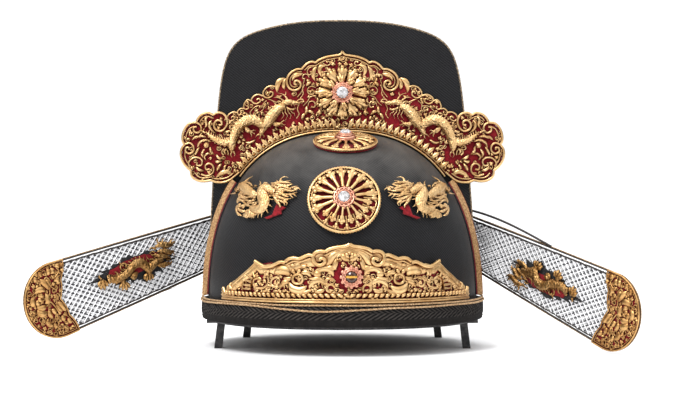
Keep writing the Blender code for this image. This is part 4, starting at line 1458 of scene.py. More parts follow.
class Crowd:
    """Round places that are taken, sorted into square cells so that near ones are quickly found."""

    cell = 0.006

    def __init__(self, spots: Iterable[Spot], margin: float) -> None:
        """Sort the places, each an x, a y and a half width, that keep others off by a margin."""
        self.margin = margin
        self.cells: dict[tuple[int, int], list[Spot]] = {}
        for spot in spots:
            self.cells.setdefault(self.index(spot), []).append(spot)

    def index(self, spot: Sequence[float]) -> tuple[int, int]:
        """Column and row of the cell in which a place lies."""
        return int(spot[0] // self.cell), int(spot[1] // self.cell)

    def reaches(self, point: Flat) -> bool:
        """Whether a point lies closer than the margin to a place that is taken."""
        column, row = self.index(point)
        near = [spot for i in (-1, 0, 1) for j in (-1, 0, 1)
                for spot in self.cells.get((column + i, row + j), ())]
        return any(math.hypot(point[0] - x, point[1] - y) < radius + self.margin for x, y, radius in near)


# Fillings of about 4 mm, in millimetres round their middle.
CURL = drawn(
    (COMMA, 0.55, (-2.0, -1.0, -0.9, -1.5, 0.7, -1.2, 1.2, 0.1, 0.3, 1.1, -0.7, 0.6, -0.2, -0.2)),
    (LEAF, 0.7, (-1.2, -1.3, -1.6, 0, -0.9, 1.4)),
)
SPRIG = drawn(
    (LEAF, 0.75, (-2.0, -0.2, -0.6, 0.3, 0.2, 1.5)),
    (LEAF, 0.8, (-1.6, -0.3, 0.2, -0.2, 1.9, 0.3)),
    (LEAF, 0.75, (-1.5, -0.5, -0.2, -1.0, 0.6, -1.8)),
)
LEAFLET = drawn(
    (LEAF, 0.85, (-1.9, -0.6, -0.3, 0.4, 1.6, 0.1)),
    (COMMA, 0.5, (-1.2, -0.8, 0.2, -1.2, 0.9, -0.8)),
)


def inside(point: Flat, edge: Sequence[Flat]) -> bool:
    """Tell whether a point lies inside a closed outline.

    Args:
        point: Point to test.
        edge: Closed outline.

    Returns:
        Whether it lies inside.
    """
    found = False
    x, y = point
    for (x1, y1), (x2, y2) in edges(edge):
        if (y1 > y) != (y2 > y) and x < x1 + (y - y1) / (y2 - y1) * (x2 - x1):
            found = not found
    return found


def cut_stone(radius: float, height: float, table: float = 0.55, sides: int = 12) -> Thing:
    """Cut a round stone with a flat table, sloping facets and a girdle, its foot at height 0.

    Args:
        radius: Radius of the girdle.
        height: Height of the table over the foot.
        table: Radius of the table as a share of the girdle's.
        sides: Number of sides of the girdle.

    Returns:
        The stone.
    """
    bpy.ops.object.select_all(action="DESELECT")
    bpy.ops.mesh.primitive_cylinder_add(vertices=sides, radius=radius, depth=height,
                                        location=(0, 0, height / 2))
    stone = bpy.context.object
    bpy.ops.object.transform_apply(location=True)
    with editing(stone):
        for level in (0.55, 0.8):
            bpy.ops.mesh.select_all(action="SELECT")
            bpy.ops.mesh.bisect(plane_co=(0, 0, height * level), plane_no=(0, 0, 1))
    for vertex in stone.data.vertices:
        share = vertex.co.z / height
        shrink = 1.0 if share < 0.6 else 0.86 if share < 0.9 else table
        turn = Matrix.Rotation(math.pi / sides if 0.6 < share < 0.9 else 0, 3, "Z")
        vertex.co = turn @ Vector((vertex.co.x * shrink, vertex.co.y * shrink, vertex.co.z))
    with editing(stone):
        bpy.ops.mesh.quads_convert_to_tris()
        bpy.ops.mesh.normals_make_consistent(inside=False)
    return stone


@dataclass(frozen=True)
class Setting:
    """Stone in a beaded copper collet shaped as a flower."""

    stone: float = 0.0037
    collet: float = 0.0081
    height: float = 0.0036
    lobes: int = 12
    claws: int = 12
    collar: float = 0.0

    def make(self, shop: Workshop, name: str, place: Place, gem: Finish, nodes: Sequence[str] = ()) -> None:
        """Make the collet and its stone.

        Args:
            shop: Workshop that finishes the pieces.
            name: First part of the pieces' names.
            place: Puts the setting on the cap.
            gem: Finish of the stone.
            nodes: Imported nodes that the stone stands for.
        """
        relief = Relief(name + "_collet", 0.002, 0.6)
        lobe = self.collet * math.pi / self.lobes * 0.62
        for step in range(self.lobes):
            way = ray(step * math.tau / self.lobes)
            relief.bead(way * (self.collet - lobe), lobe)
            relief.bead(way * (self.collet - lobe * 2.1), lobe * 0.62, IDENTITY,
                        self.height * 0.22 + self.collar * 0.5, 0.8)
        relief.ring(self.collet - lobe * 1.5, lobe * 0.5, self.height * 0.12)
        relief.ring(self.stone * 1.12, self.stone * 0.15, self.height * 0.3 + self.collar)
        relief.ring(self.stone * 1.3, self.stone * 0.16, self.height * 0.1 + self.collar)
        if self.collar:
            relief.ring(self.stone * 1.5, self.stone * 0.3, self.collar * 0.4)
        for step in range(self.claws):
            way = ray((step + 0.5) * math.tau / self.claws)
            relief.bead(way * self.stone * 1.06, self.stone * 0.14, IDENTITY,
                        self.height * 0.5 + self.collar, 1.0)
        shop.finish(relief.cast(place), COPPER, angle=ROUNDED)
        stone = cut_stone(self.stone, self.height)
        stone.name = name + "_cut_stone"
        shop.finish(laid(stone, over(place, self.collar)), gem, nodes, FACETED)


# Crest

CREST_EDGE = (
    -0.1, 83.7, 5.8, 80.8, 10.6, 79.9, 15.4, 78, 17.7, 76.2, 20.5, 76.8, 23.9, 75.2, 27,
    71.9, 30.1, 71.8, 33.7, 69.9, 35.9, 67.4, 37.5, 66, 41.6, 64.4, 43.6, 60.4, 46.7, 60.9, 50.1,
    59.8, 52.7, 54.9, 55.6, 55.2, 58.5, 54.1, 60.2, 51.5, 62.5, 51.7, 64.6, 49.6, 65.5, 46, 67.4,
    45.8, 69.6, 43.4, 72.2, 43.6, 75.1, 42, 76.6, 40.1, 78.5, 42.3, 82.5, 43.2, 85.6, 41.6, 88.6,
    43.1, 92.3, 42.2, 95.2, 39.6, 96.7, 36.7, 100.6, 36.2, 103.7, 33.3, 105.5, 29.1, 105.7, 24.6,
    104.4, 22, 106.4, 19.1, 106.9, 15.1, 105.5, 10.6, 103, 7.3, 100.2, 4.9, 99.5, 1, 95.8, -1.6,
    91.4, -2.2, 86.9, -1.5, 83.3, -2.8, 78.5, -2.8, 74.4, -1.3, 71.1, 1.2, 68.1, 3.8,
)

CREST_SCROLLS = drawn(
    (RAIL, 0.85, (-0.1, 83.7, 1.7, 81.5, 5.8, 80.8, 10.6, 79.9, 15.4, 78, 17.7, 76.2), (17.7, 76.2, 20.5,
        76.8, 23.9, 75.2, 27, 71.9), (27, 71.9, 30.1, 71.8, 33.7, 69.9, 35.9, 67.4, 36.8, 64.3, 36.2, 61.1,
        34.4, 58.8, 31.6, 57.9, 28.7, 59.1, 27.5, 61.6, 28.5, 63.8, 30.7, 64.3, 31.9, 62.6, 30.4, 61.5)),
    (EVEN, 0.5, (-0.1, 80.3, 5.1, 79.1, 10.2, 78.1, 14.8, 76.2, 17.7, 74.1), (17.7, 74.1, 21.7, 74, 25.1,
        71.3), (27, 70.2, 29.8, 70.2, 32.5, 68.4, 34.6, 65.5, 34.3, 61.8, 32, 60, 29.4, 60.9)),
    (LEAF, 1.3, (37.2, 66, 38.3, 63.7, 38.8, 60.7, 38.3, 58.4)),
    (LEAF, 1.7, (38.1, 66, 41.6, 64.1, 43.1, 60.7, 43.1, 56.5)),
    (EVEN, 0.62, (43.6, 60, 46.7, 60.9, 50.1, 59.8, 52.4, 56.8, 52, 54.1, 49.3, 52.9, 46.7, 54.1, 46, 56.3,
        47.7, 57.1, 48.3, 55.6), (52.7, 54.3, 55.6, 55.2, 58.5, 54.1, 60.2, 51.8, 58.9, 49.6, 56.3, 49.2,
        54.3, 50.8, 55.1, 52.5, 56.7, 51.8)),
    (EVEN, 0.58, (60, 50.8, 62.5, 51.7, 64.6, 49.6, 65.3, 46.7, 63.7, 45.3, 62.1, 46.2, 62.6, 47.5), (65.2,
        45.8, 67.4, 45.8, 69.4, 43.8, 68.6, 41.6, 67, 42)),
    (EVEN, 0.6, (69.1, 43.1, 72.2, 43.6, 75.1, 42, 76.1, 39.7, 74.5, 37.8, 72.2, 38.3, 71.2, 40.1, 72.8,
        40.7, 73.4, 39.5)),
    (RAIL, 0.85, (85.8, 41.4, 82.5, 43.2, 78.5, 42.3, 76.2, 38.6, 76.8, 34.2, 79.9, 31, 83.8, 32, 85, 35.3,
        82.9, 38.1, 80.2, 37.5, 79.9, 35.2, 81.8, 35), (85.6, 41.6, 88.6, 43.1, 92.3, 42.2, 95.2, 39.6,
        96.7, 36.7), (96.7, 36.7, 100.6, 36.2, 103.7, 33.3, 105.5, 29.1, 105.7, 24.6, 104.4, 22), (104.4,
        22, 106.4, 19.1, 106.9, 15.1, 105.5, 10.6, 103, 7.3, 100.2, 4.9), (100.2, 4.9, 99.5, 1, 95.8, -1.6,
        91.4, -2.2, 86.9, -1.5), (86.9, -1.5, 83.3, -2.8, 78.5, -2.8, 74.4, -1.3, 71.1, 1.2, 68.1, 3.8)),
    (EVEN, 0.5, (85.5, 39.5, 88.8, 40.7, 92, 40, 94, 37.8), (98, 34.2, 101.3, 32.4, 103.2, 28.7, 103.5,
        24.8, 102.1, 22.4), (104.1, 17.6, 104.2, 14.3, 103, 11, 100.6, 7.8), (97.6, 3.3, 95.1, 0.7, 91.2, 0,
        87.3, 0.6), (85.1, -0.6, 80.3, -0.7, 75.9, 0.5, 72.3, 3)),
    (RAIL, 0.75, (96.7, 36.7, 94, 35, 93.4, 32, 95.4, 29.9, 98, 30.7, 98.5, 33.2, 96.5, 33.8), (104.4, 22,
        101.3, 23.2, 98.7, 21.3, 98.5, 18, 101, 16.1, 103.6, 17.3, 103.5, 19.8, 101.6, 20.1, 101.4, 18.6)),
    (EVEN, 0.7, (100.2, 4.9, 101.8, 9.9, 98.9, 13.2, 95.1, 13.4, 92.8, 11.4, 93.6, 8.3, 96.2, 8.4, 96.2,
        10.3), (93.6, 2.5, 89.2, 1.3, 85.5, 3.8, 85.5, 7.7, 88, 9.6, 90.7, 8.1, 90, 5.5, 88, 5.8)),
    (LEAF, 1.5, (72.8, 1.8, 76.5, 4.1, 80.3, 2.9, 84, -0.1)),
    (LEAF, 1.1, (88.8, 40.9, 90.6, 38.6, 89.9, 35, 91.5, 32.7)),
    (LEAF, 1, (91.5, 32.7, 94.3, 27.6, 97.6, 26.9, 99.9, 24.6)),
    (LEAF, 1.1, (86.2, 38.6, 88.1, 35.7, 86.9, 32, 83.3, 29.1), (78.7, 12.1, 81.8, 13.2, 84, 15.7), (79.6,
        11.4, 82.5, 10.5, 84.6, 11.5)),
    (LEAF, 1.2, (79.9, 9.9, 81.9, 6.9, 83.3, 4.1)),
    (LEAF, 1, (76.6, 15.1, 78.1, 17.6, 76.6, 19.5, 78.5, 19.1)),
    (EVEN, 0.6, (75.5, 15.1, 75.9, 18, 78.5, 19.1, 79.9, 16.9, 78.5, 15.1)),
    (LEAF, 0.9, (85.5, 15.1, 88.8, 16.2, 91.4, 14, 89.9, 11.4)),
    (LEAF, 1, (94.3, 21, 96.5, 17.3, 97.6, 14.7), (76.6, 9.2, 78.1, 6.6, 76.6, 4.7)),
    (LEAF, 1.1, (91.4, 4.4, 95.1, 5.5, 97.3, 7.7)),
    (COMMA, 0.55, (15.5, 74.7, 13.2, 76.1, 11.1, 74.7, 9.1, 74.6, 7.9, 75.9, 9.2, 77.2, 10.4, 76.4)),
    (LEAF, 1.3, (10.6, 74.6, 14.3, 73.6, 15, 70.7, 13.5, 66.5), (16.7, 74, 18.8, 71.1, 19.2, 67.4, 18,
        64)),
    (COMMA, 0.55, (18.5, 73.6, 21.4, 73.1, 23.3, 70.7, 22.2, 68.1, 20.5, 69.1, 21, 70.6), (21.9, 66.5, 23.5,
        68.6, 25.9, 68.1, 26.2, 65.8, 24.4, 65.6)),
    (LEAF, 1.5, (26.4, 69, 29.4, 68.3, 31.8, 67.4, 33.2, 64.3)),
    (COMMA, 0.6, (17.7, 59.9, 21.3, 60.5, 23.2, 58.2, 22, 55.5, 19.4, 55.5, 18.7, 57.5, 20.4, 58.1)),
    (EVEN, 0.36, (25.1, 65.2, 26.3, 60.7, 27, 57.1, 29.8, 53.4)),
    (COMMA, 0.6, (22.9, 47.3, 22, 50.1, 19.4, 50.7, 17.9, 49, 18.7, 46.7, 20.7, 47)),
    (EVEN, 0.36, (18.2, 54.6, 21.3, 53.4, 23.3, 50.4, 25.9, 47.8)),
    (LEAF, 1.2, (23.8, 47.9, 23.7, 44.5, 24.4, 41.4), (23.5, 44.1, 20.7, 43.7, 18.5, 41), (24.2, 43.1, 26.2,
        40.9, 26.3, 37.8)),
    (LEAF, 1, (15.7, 45.6, 14.8, 43.1, 16.1, 40.9), (13.5, 42.3, 15.5, 43.4, 17.7, 42.3), (16.9, 53.4, 16.1,
        51.2, 17.7, 49)),
    (LEAF, 1.2, (20.5, 63.7, 22.8, 62.2, 23.9, 60)),
    (EVEN, 0.36, (39.1, 50.6, 43.4, 50.1, 47.8, 51.8, 51.7, 53.4), (50.1, 51.2, 52.6, 48.6, 52.3, 45.6,
        54.6, 43.4), (52.6, 47.5, 56.7, 47.5, 60.4, 44.5, 61.1, 42)),
    (LEAF, 0.9, (39.7, 54.9, 41.9, 53.4, 44.5, 53.8), (61.9, 41.6, 64.8, 42.7, 66.7, 40.9)),
    (LEAF, 1, (72.9, 32, 75.9, 30.5, 78.5, 30.9)),
    (LEAF, 0.9, (57.4, 25.4, 61.1, 23.2, 64.8, 23.9)),
    (COMMA, 0.6, (39.7, 34.2, 42.7, 35, 44.2, 33.1, 42.7, 31.6)),
)

CREST_DRAGON = drawn(
    (BODY, 0.8, (38.3, 47.6, 1.9, 42.7, 45.6, 2.9, 46.7, 41.2, 3.4, 49.3, 36.8, 3.2, 52.6, 35, 2.6, 55.6,
        37, 2.8, 59.6, 38.6, 3.2, 64.4, 37.5, 3.3, 68.5, 34.2, 3, 71.1, 29.4, 2.7, 73.1, 24.6, 2.4, 77,
        23.2, 2.2, 81.8, 24.3, 1.9, 86.2, 26.7, 1.4, 90.3, 30.4, 0.5)),
    (LEAF, 1.9, (41, 47.4, 38.2, 49.4, 34.6, 50.2, 31, 50.2)),
    (LEAF, 1.35, (37.5, 49.2, 33.5, 49.8, 30, 49.5, 27.2, 49.8)),
    (COMMA, 0.6, (30.6, 49.9, 28.8, 51.7, 26.7, 52, 25.6, 50.6, 26.9, 49.7)),
    (BEAD, 1, (34.6, 50.9)),
    (BEAD, 0.9, (27, 50.2)),
    (LEAF, 0.85, (38.2, 47.8, 35.2, 45.6, 32.4, 45.2, 30.8, 46.6)),
    (SPIKE, 0.42, (31.9, 48.8, 31.6, 47.2), (33.7, 48.6, 33.6, 47.2), (29.8, 48.8, 29.3, 47.3)),
    (SPIKE, 0.7, (36.2, 51.2, 37.4, 53.6, 39.4, 55.3, 42.4, 56.2)),
    (SPIKE, 0.5, (38.2, 54.2, 37.3, 55.9, 37.6, 57.2)),
    (SPIKE, 0.7, (38.6, 50.6, 40.8, 52.4, 43, 53.2, 45.4, 53.2)),
    (SPIKE, 0.5, (41.4, 52.6, 42.2, 54, 43.6, 54.6)),
    (SPIKE, 0.6, (39.8, 49.4, 42, 50.8, 44, 49.8, 46, 50.4), (39.8, 47.6, 41.4, 45.2, 41, 42.8, 43.2, 40.4),
        (38.8, 47, 39.8, 44, 38.8, 41.4, 40.6, 38.6), (37.6, 46.6, 37.8, 43.6, 36.4, 41.2, 37.6, 38.2),
        (36.2, 46, 35.6, 43.4, 34, 41.6, 34.6, 39)),
    (SPIKE, 0.55, (34.6, 45.4, 33.4, 43.4, 31.8, 42.6, 31.4, 40.6)),
    (EVEN, 0.33, (27.9, 52.5, 25.9, 55.6, 26.4, 58.5, 25.1, 61.5), (28.6, 48.8, 29.8, 45.4, 28.6, 42.2,
        30.4, 39.4)),
    (LEAF, 1.7, (49.3, 35, 53, 31.3, 54.1, 27.6)),
    (SPIKE, 0.6, (53.4, 29.1, 51.7, 27.6, 52.1, 26.4), (54.1, 28.7, 54.3, 26.9, 55.2, 26), (54.5, 29.2,
        56.5, 28.2, 57.4, 26.9)),
    (LEAF, 1.4, (47.1, 37.5, 43.4, 35.3, 39.7, 36.6)),
    (SPIKE, 0.55, (40.8, 36.3, 38.8, 37.9, 37.8, 37.5), (40.6, 36, 38.6, 35, 37.7, 35.5)),
    (LEAF, 1.4, (65.2, 35, 62.5, 31.4, 59.6, 30.4)),
    (SPIKE, 0.55, (60.4, 30.7, 58.3, 31.6, 57.4, 30.9), (60.2, 30.4, 58.3, 29.4, 57.7, 28.3), (60.8, 30.1,
        60, 28, 60.5, 27.1)),
    (LEAF, 2.6, (71.1, 26.9, 73.1, 22.4, 72.8, 16.5)),
    (SPIKE, 0.7, (72.6, 18.4, 71.1, 15.8, 71.6, 14.2), (72.9, 18, 73.8, 15.4, 73.1, 13.6)),
    (BEAD, 2, (89.9, 21.7)),
    (LEAF, 1, (86.6, 23.9, 90.6, 25, 94.5, 23.2, 95.9, 19.9), (87.7, 21, 86.9, 17.3, 84.7, 15.4)),
    (LEAF, 0.9, (89.9, 26.9, 93.6, 27.6, 97.3, 26)),
    (SPIKE, 0.7, (90.6, 29.8, 93.6, 31.3, 95.8, 30.2)),
    (LEAF, 0.9, (91, 19.5, 92.8, 16.2, 92, 13.2)),
)

# Leaf of the crest's fringe, in shares of its height, standing on the wire and leaning away from the middle.
FRINGE_LEAF = drawn(
    (LEAF, 0.18, (-0.26, -0.05, -0.14, 0.35, -0.02, 0.7, 0.12, 1.04)),
    (COMMA, 0.1, (-0.1, 0.4, 0.1, 0.5, 0.22, 0.4, 0.16, 0.24)),
    (SPIKE, 0.09, (-0.1, 0.45, -0.2, 0.68, -0.26, 0.84)),
)

# Petal of the rosette, in shares of its length, pointing along +X from the middle of the flower.
ROSETTE_PETAL = drawn(
    (LEAF, 0.115, (0.3, 0, 0.65, 0, 1.0, 0)),
    (BEAD, 0.075, (0.93, 0), (0.82, 0.12), (0.82, -0.12)),
    (LEAF, 0.08, (0.45, 0.0, 0.68, 0.07, 0.88, 0.14), (0.45, 0.0, 0.68, -0.07, 0.88, -0.14)),
)


@dataclass
class Crest:
    """Arched openwork crest with its felt, rosette and two dragons."""

    shop: Workshop
    foot_z: float = 0.1105
    clearance: float = 0.0008
    felt_margin: float = 0.0006
    fringe_leaves: int = 17
    fringe_height: float = 0.0078
    rosette_radius: float = 0.018
    rosette_z: float = 0.1669
    stone_lift: float = 0.0022

    def place(self, layer: float) -> Place:
        """Return the place function of a layer in front of the rear crown."""
        return lambda x, y, height: Vector((x, -layer - height, self.foot_z + y))

    def arc(self, steps: int) -> list[Vector]:
        """Lower edge from the middle out to the right, over the foot.

        Args:
            steps: Number of spans.

        Returns:
            The points of the edge.
        """
        plan = self.shop.plan
        end = math.asin(((self.foot_z - plan.foot_z) / (plan.ridge_z - plan.foot_z)) ** (plan.side_power / 2))
        points = []
        for step in range(steps + 1):
            turn = QUARTER + (QUARTER - end) * step / steps
            x, z = plan.arch_point(turn, self.clearance)
            points.append(Vector((x, z - self.foot_z)))
        return points

    def build(self) -> None:
        """Make the crest."""
        edge = self.edge()
        self.make_felt(edge)
        self.make_scrolls(edge)
        self.make_dragons()
        self.make_rosette()

    def edge(self) -> list[Flat]:
        """Closed outline of the plaque, the left half mirrored from the right."""
        right = [(x, y) for x, y in knots(CREST_EDGE) + self.arc(24)[::-1]]
        return right + [(-x, y) for x, y in reversed(right)]

    def make_felt(self, edge: list[Flat]) -> None:
        """Cut the felt backing."""
        self.shop.lay_felt("crest_red_felt", inset(edge, self.felt_margin), self.place(GAP), RED_FELT,
                           "crest_felt", "crest_plaque", bends=False)

    def make_scrolls(self, edge: list[Flat]) -> None:
        """Cast the rim, the scrolls, the fringe of leaves and the fillings between them.

        Args:
            edge: Outline of the plaque.
        """
        relief = Relief("crest_openwork")
        for turn in (IDENTITY, MIRROR):
            relief.draw(CREST_SCROLLS, turn)
            self.draw_fringe(relief, turn)
        arc = self.arc(40)
        wire = [Vector((-point.x, point.y)) for point in reversed(arc)] + arc[1:]
        for width, out, lift in ((0.0008, 0.0003, 0.0004), (0.0004, 0.0019, 0.0)):
            relief.rail([Vector((x * (1 + out / 0.1), y + out, width + lift)) for x, y in wire], width)
        clear = [(turn * point.x, point.y, 0.0032) for taper, _, numbers in CREST_DRAGON
                 for point in knots(numbers, taper) for turn in (-1, 1)]
        clear.append((0, self.rosette_z - self.foot_z, self.rosette_radius * 0.92))
        relief.fill(edge, spacing=0.0036, seed=7, size=0.95, margin=0.0007, clear=clear)
        relief.fill(edge, spacing=0.0029, seed=19, size=0.7, margin=0.0004, clear=clear)
        self.shop.finish(relief.cast(self.place(GAP * 2 + FELT)), GOLD, ["crest_plaque"], ROUNDED)

    def draw_fringe(self, relief: Relief, turn: Matrix) -> None:
        """Draw the row of curled leaves that stands on the lower wire.

        Args:
            relief: Relief that takes them.
            turn: Flat placing of the row.
        """
        arc = even_run(self.arc(60), 200)
        for leaf in range(self.fringe_leaves):
            share = (leaf + 1.55) / (self.fringe_leaves + 1.6)
            index = min(int(share * 198), 197)
            foot = arc[index]
            run = (arc[index + 1] - foot).normalized()
            height = self.fringe_height * (1.0 - 0.1 * share)
            lean = Matrix.Rotation(math.atan2(run.y, run.x) * 0.75, 4, "Z")
            spot = Matrix.Translation((foot.x - run.y * 0.0012, foot.y + run.x * 0.0012, 0)) @ lean
            relief.draw(FRINGE_LEAF, turn @ spot, 0.0001, height * 1000)

    def make_dragons(self) -> None:
        """Cast the two dragons that face the rosette."""
        place = self.place(GAP * 4 + FELT * 2)
        for side in Side:
            relief = Relief("crest_dragon_cast_" + side.word, 0.00125, 0.62)
            turn = IDENTITY if side is Side.RIGHT else MIRROR
            relief.draw(CREST_DRAGON, turn)
            add_fins(relief, CREST_DRAGON, turn)
            self.shop.finish(relief.cast(place), CHASED_GOLD, ["crest_dragon_" + side.word], ROUNDED)

    def make_rosette(self) -> None:
        """Cast the flower in the middle and set its stone."""
        relief = Relief("crest_rosette_flower")
        middle = self.rosette_z - self.foot_z
        for count, reach, lift, phase in ((12, 1.0, 0.0004, 0.0), (8, 0.7, 0.0022, 0.13)):
            for petal in range(count):
                angle = petal * math.tau / count + phase
                turn = Matrix.Translation((0, middle, 0)) @ Matrix.Rotation(angle, 4, "Z")
                relief.draw(ROSETTE_PETAL, turn, lift, self.rosette_radius * 1000 * reach)
        place = self.place(GAP * 4 + FELT * 2)
        self.shop.finish(relief.cast(place), GOLD, ["crest_rosette"], ROUNDED)
        seat = level_seat(place(0, middle, self.stone_lift), Vector((0, -1, 0)))
        Setting(stone=0.0040, collet=0.0080).make(self.shop, "crest", seat, CRYSTAL)


def inset(outline: Sequence[Flat], margin: float) -> list[Flat]:
    """Move a closed outline inwards by a margin.

    Args:
        outline: Closed outline.
        margin: Distance to move each point, or below 0 to move it out.

    Returns:
        The moved outline.
    """
    way = 1 if signed_area(outline) > 0 else -1
    moved = []
    for index, point in enumerate(outline):
        before = Vector(outline[index - 1])
        after = Vector(outline[(index + 1) % len(outline)])
        run = (after - before).normalized()
        moved.append((point[0] - way * run.y * margin, point[1] + way * run.x * margin))
    return moved


def finer(rows: tuple[Row, ...], least: float = 1.5) -> tuple[Row, ...]:
    """Split each broad leaf into a fan of three narrow flames.

    Args:
        rows: Rows of a drawing.
        least: Half width of a leaf that is split.

    Returns:
        The finer rows.
    """
    split: list[Row] = []
    for taper, width, numbers in rows:
        if taper is not LEAF or width < least:
            split.append((taper, width, numbers))
            continue
        root, *_ = leaf = knots(numbers, unit=1.0)
        for turn, share in ((0.0, 1.0), (0.32, 0.85), (-0.32, 0.85)):
            spin = Matrix.Rotation(turn, 2)
            points = [root + spin @ (point - root) * share for point in leaf]
            split.append((taper, width * 0.46, tuple(value for point in points for value in point)))
    return tuple(split)


def add_fins(relief: Relief, rows: tuple[Row, ...], turn: Matrix, spacing: float = 0.0017,
             fin: float = 0.0019) -> None:
    """Stand a comb of fins along the back of each body line of a dragon, and a low one along its belly.

    Args:
        relief: Relief that takes them.
        rows: Rows of the dragon.
        turn: Flat placing of the dragon.
        spacing: Distance between the fins.
        fin: Length of a fin on the back.
    """
    for taper, _, numbers in rows:
        if taper is not BODY:
            continue
        body = knots(numbers, taper)
        path = curved_run(body, len(body) * 8)
        travelled = 0.0
        for before, here, after in zip(path, path[1:], path[2:]):
            travelled += (here.xy - before.xy).length
            if travelled < spacing:
                continue
            travelled = 0.0
            run = (after.xy - before.xy).normalized()
            side = Vector((-run.y, run.x))
            for way, share in ((1, 1.0), (-1, 0.35)):
                root = here.xy + side * way * here.z * 0.85
                tip = here.xy + side * way * (here.z + fin * share) + run * fin * 0.6
                relief.line([root, root.lerp(tip, 0.5) + run * 0.0002, tip], 0.00062, SPIKE, turn)


# Medallions

# Trumpet petal of a medallion, in shares of its length, pointing along +X from the collet.
TRUMPET = drawn(
    (EVEN, 0.085, (0.0, 0, 0.4, 0, 0.85, 0)),
    (LEAF, 0.13, (0.45, 0, 0.75, 0, 1.02, 0)),
    (BEAD, 0.115, (0.94, 0)),
    (BEAD, 0.105, (0.83, 0.135), (0.83, -0.135)),
    (LEAF, 0.07, (0.4, 0.03, 0.64, 0.07, 0.84, 0.135), (0.4, -0.03, 0.64, -0.07, 0.84, -0.135)),
)


@dataclass
class Medallion:
    """Round openwork medallion on the dome: felt, twisted rim, petals and a stone in its collet."""

    shop: Workshop
    name: str
    centre: Vector
    radius: float
    petals: int
    rim: float = 0.003
    twists: int = 80
    doubled: range = range(0)
    collar: float = 0.0
    hub: float = 0.0072

    def seat(self) -> SurfaceMap:
        """Table of places round the medallion's middle, raised along the dome's direction there."""
        return dome_seat(self.shop.plan, self.centre, 0.0, self.radius * 1.1, self.radius * 1.1)

    def build(self) -> None:
        """Make the medallion."""
        seat = self.seat()
        self.make_felt(seat)
        self.make_openwork(seat)
        self.make_stone(seat)

    def make_felt(self, seat: SurfaceMap) -> None:
        """Cut the felt under the medallion, a little off its middle so that a sliver shows above."""
        reach = self.radius - FELT * 0.7
        turns = [step * math.tau / 72 for step in range(72)]
        ring = [(reach * math.cos(turn), reach * math.sin(turn) + FELT * 1.1) for turn in turns]
        self.shop.lay_felt(self.name + "_red_felt", ring, over(seat.place, DRAPE_GAP * 0.5), RED_FELT,
                           self.name + "_medallion_felt", "front_crown")

    def make_openwork(self, seat: SurfaceMap) -> None:
        """Cast the twisted rim, its thin inner rails and the petals.

        Args:
            seat: Places on the dome.
        """
        relief = Relief(self.name + "_openwork", broad=0.00125, flatness=0.6)
        middle = self.radius - self.rim / 2
        reach = self.rim * 0.24
        for step in range(self.twists):
            way = ray(step * math.tau / self.twists)
            along = Vector((-way.y, way.x)) * 0.0006
            relief.line([way * (middle - reach) - along, way * middle, way * (middle + reach) + along],
                        0.00068, EVEN, IDENTITY, 0.0004)
        relief.ring(middle, width=0.0009, lift=0.0002, count=72)
        relief.ring(self.radius - self.rim * 1.12, width=0.00042, lift=0.0002, count=72)
        length = self.radius - self.rim - self.hub + 0.0005
        for petal in range(self.petals):
            # Place along the petal and turn of each trumpet, height of its foot and its length.
            trumpets = [(0.0, 0.0, 0.0008, 0.99)]
            if petal in self.doubled:
                trumpets = [(0.0, 0.0, 0.0016, 0.72), (0.36, 0.19, 0.0004, 0.64)]
            for start, turn, lift, share in trumpets:
                angle = (petal + 0.5) * math.tau / self.petals
                out = Matrix.Rotation(angle, 4, "Z") @ Matrix.Rotation(turn, 4, "Z")
                foot = Matrix.Translation((self.hub + length * start, 0, 0))
                relief.draw(TRUMPET, out @ foot, lift, length * share * 1000)
        self.shop.finish(relief.cast(over(seat.place, CAST_LAYER)), GOLD, [self.name + "_medallion"], ROUNDED)

    def make_stone(self, seat: SurfaceMap) -> None:
        """Set the stone in the middle."""
        base = seat.place(0, 0, CAST_LAYER + 0.0008)
        flat = level_seat(base, self.shop.plan.dome_normal(self.centre))
        Setting(collar=self.collar).make(self.shop, self.name, flat, CRYSTAL, [self.name + "_stone"])


def dome_seat(plan: CapPlan, point: Vector, tilt: float, half_wide: float, half_tall: float) -> SurfaceMap:
    """Lay a flat pattern on the dome, centred near a point.

    Args:
        plan: Shape of the dome.
        point: Point of the dome at the pattern's middle.
        tilt: Turn of the pattern in its own plane.
        half_wide: Half width of the table.
        half_tall: Half height of the table.

    Returns:
        The table of places; heights run along the dome's direction at the point.
    """
    out = plan.dome_normal(point)
    across, up = across_and_up(out)
    along = across * math.cos(tilt) + up * math.sin(tilt)
    up = up * math.cos(tilt) - across * math.sin(tilt)

    def locate(x: float, y: float) -> tuple[Vector, Vector]:
        """Point on the dome and outward direction at a place of the pattern."""
        return plan.meet_dome(point + along * x + up * y, out), out

    return SurfaceMap((-half_wide, -half_tall), (half_wide, half_tall), (14, 14), locate)


# Brow plaque

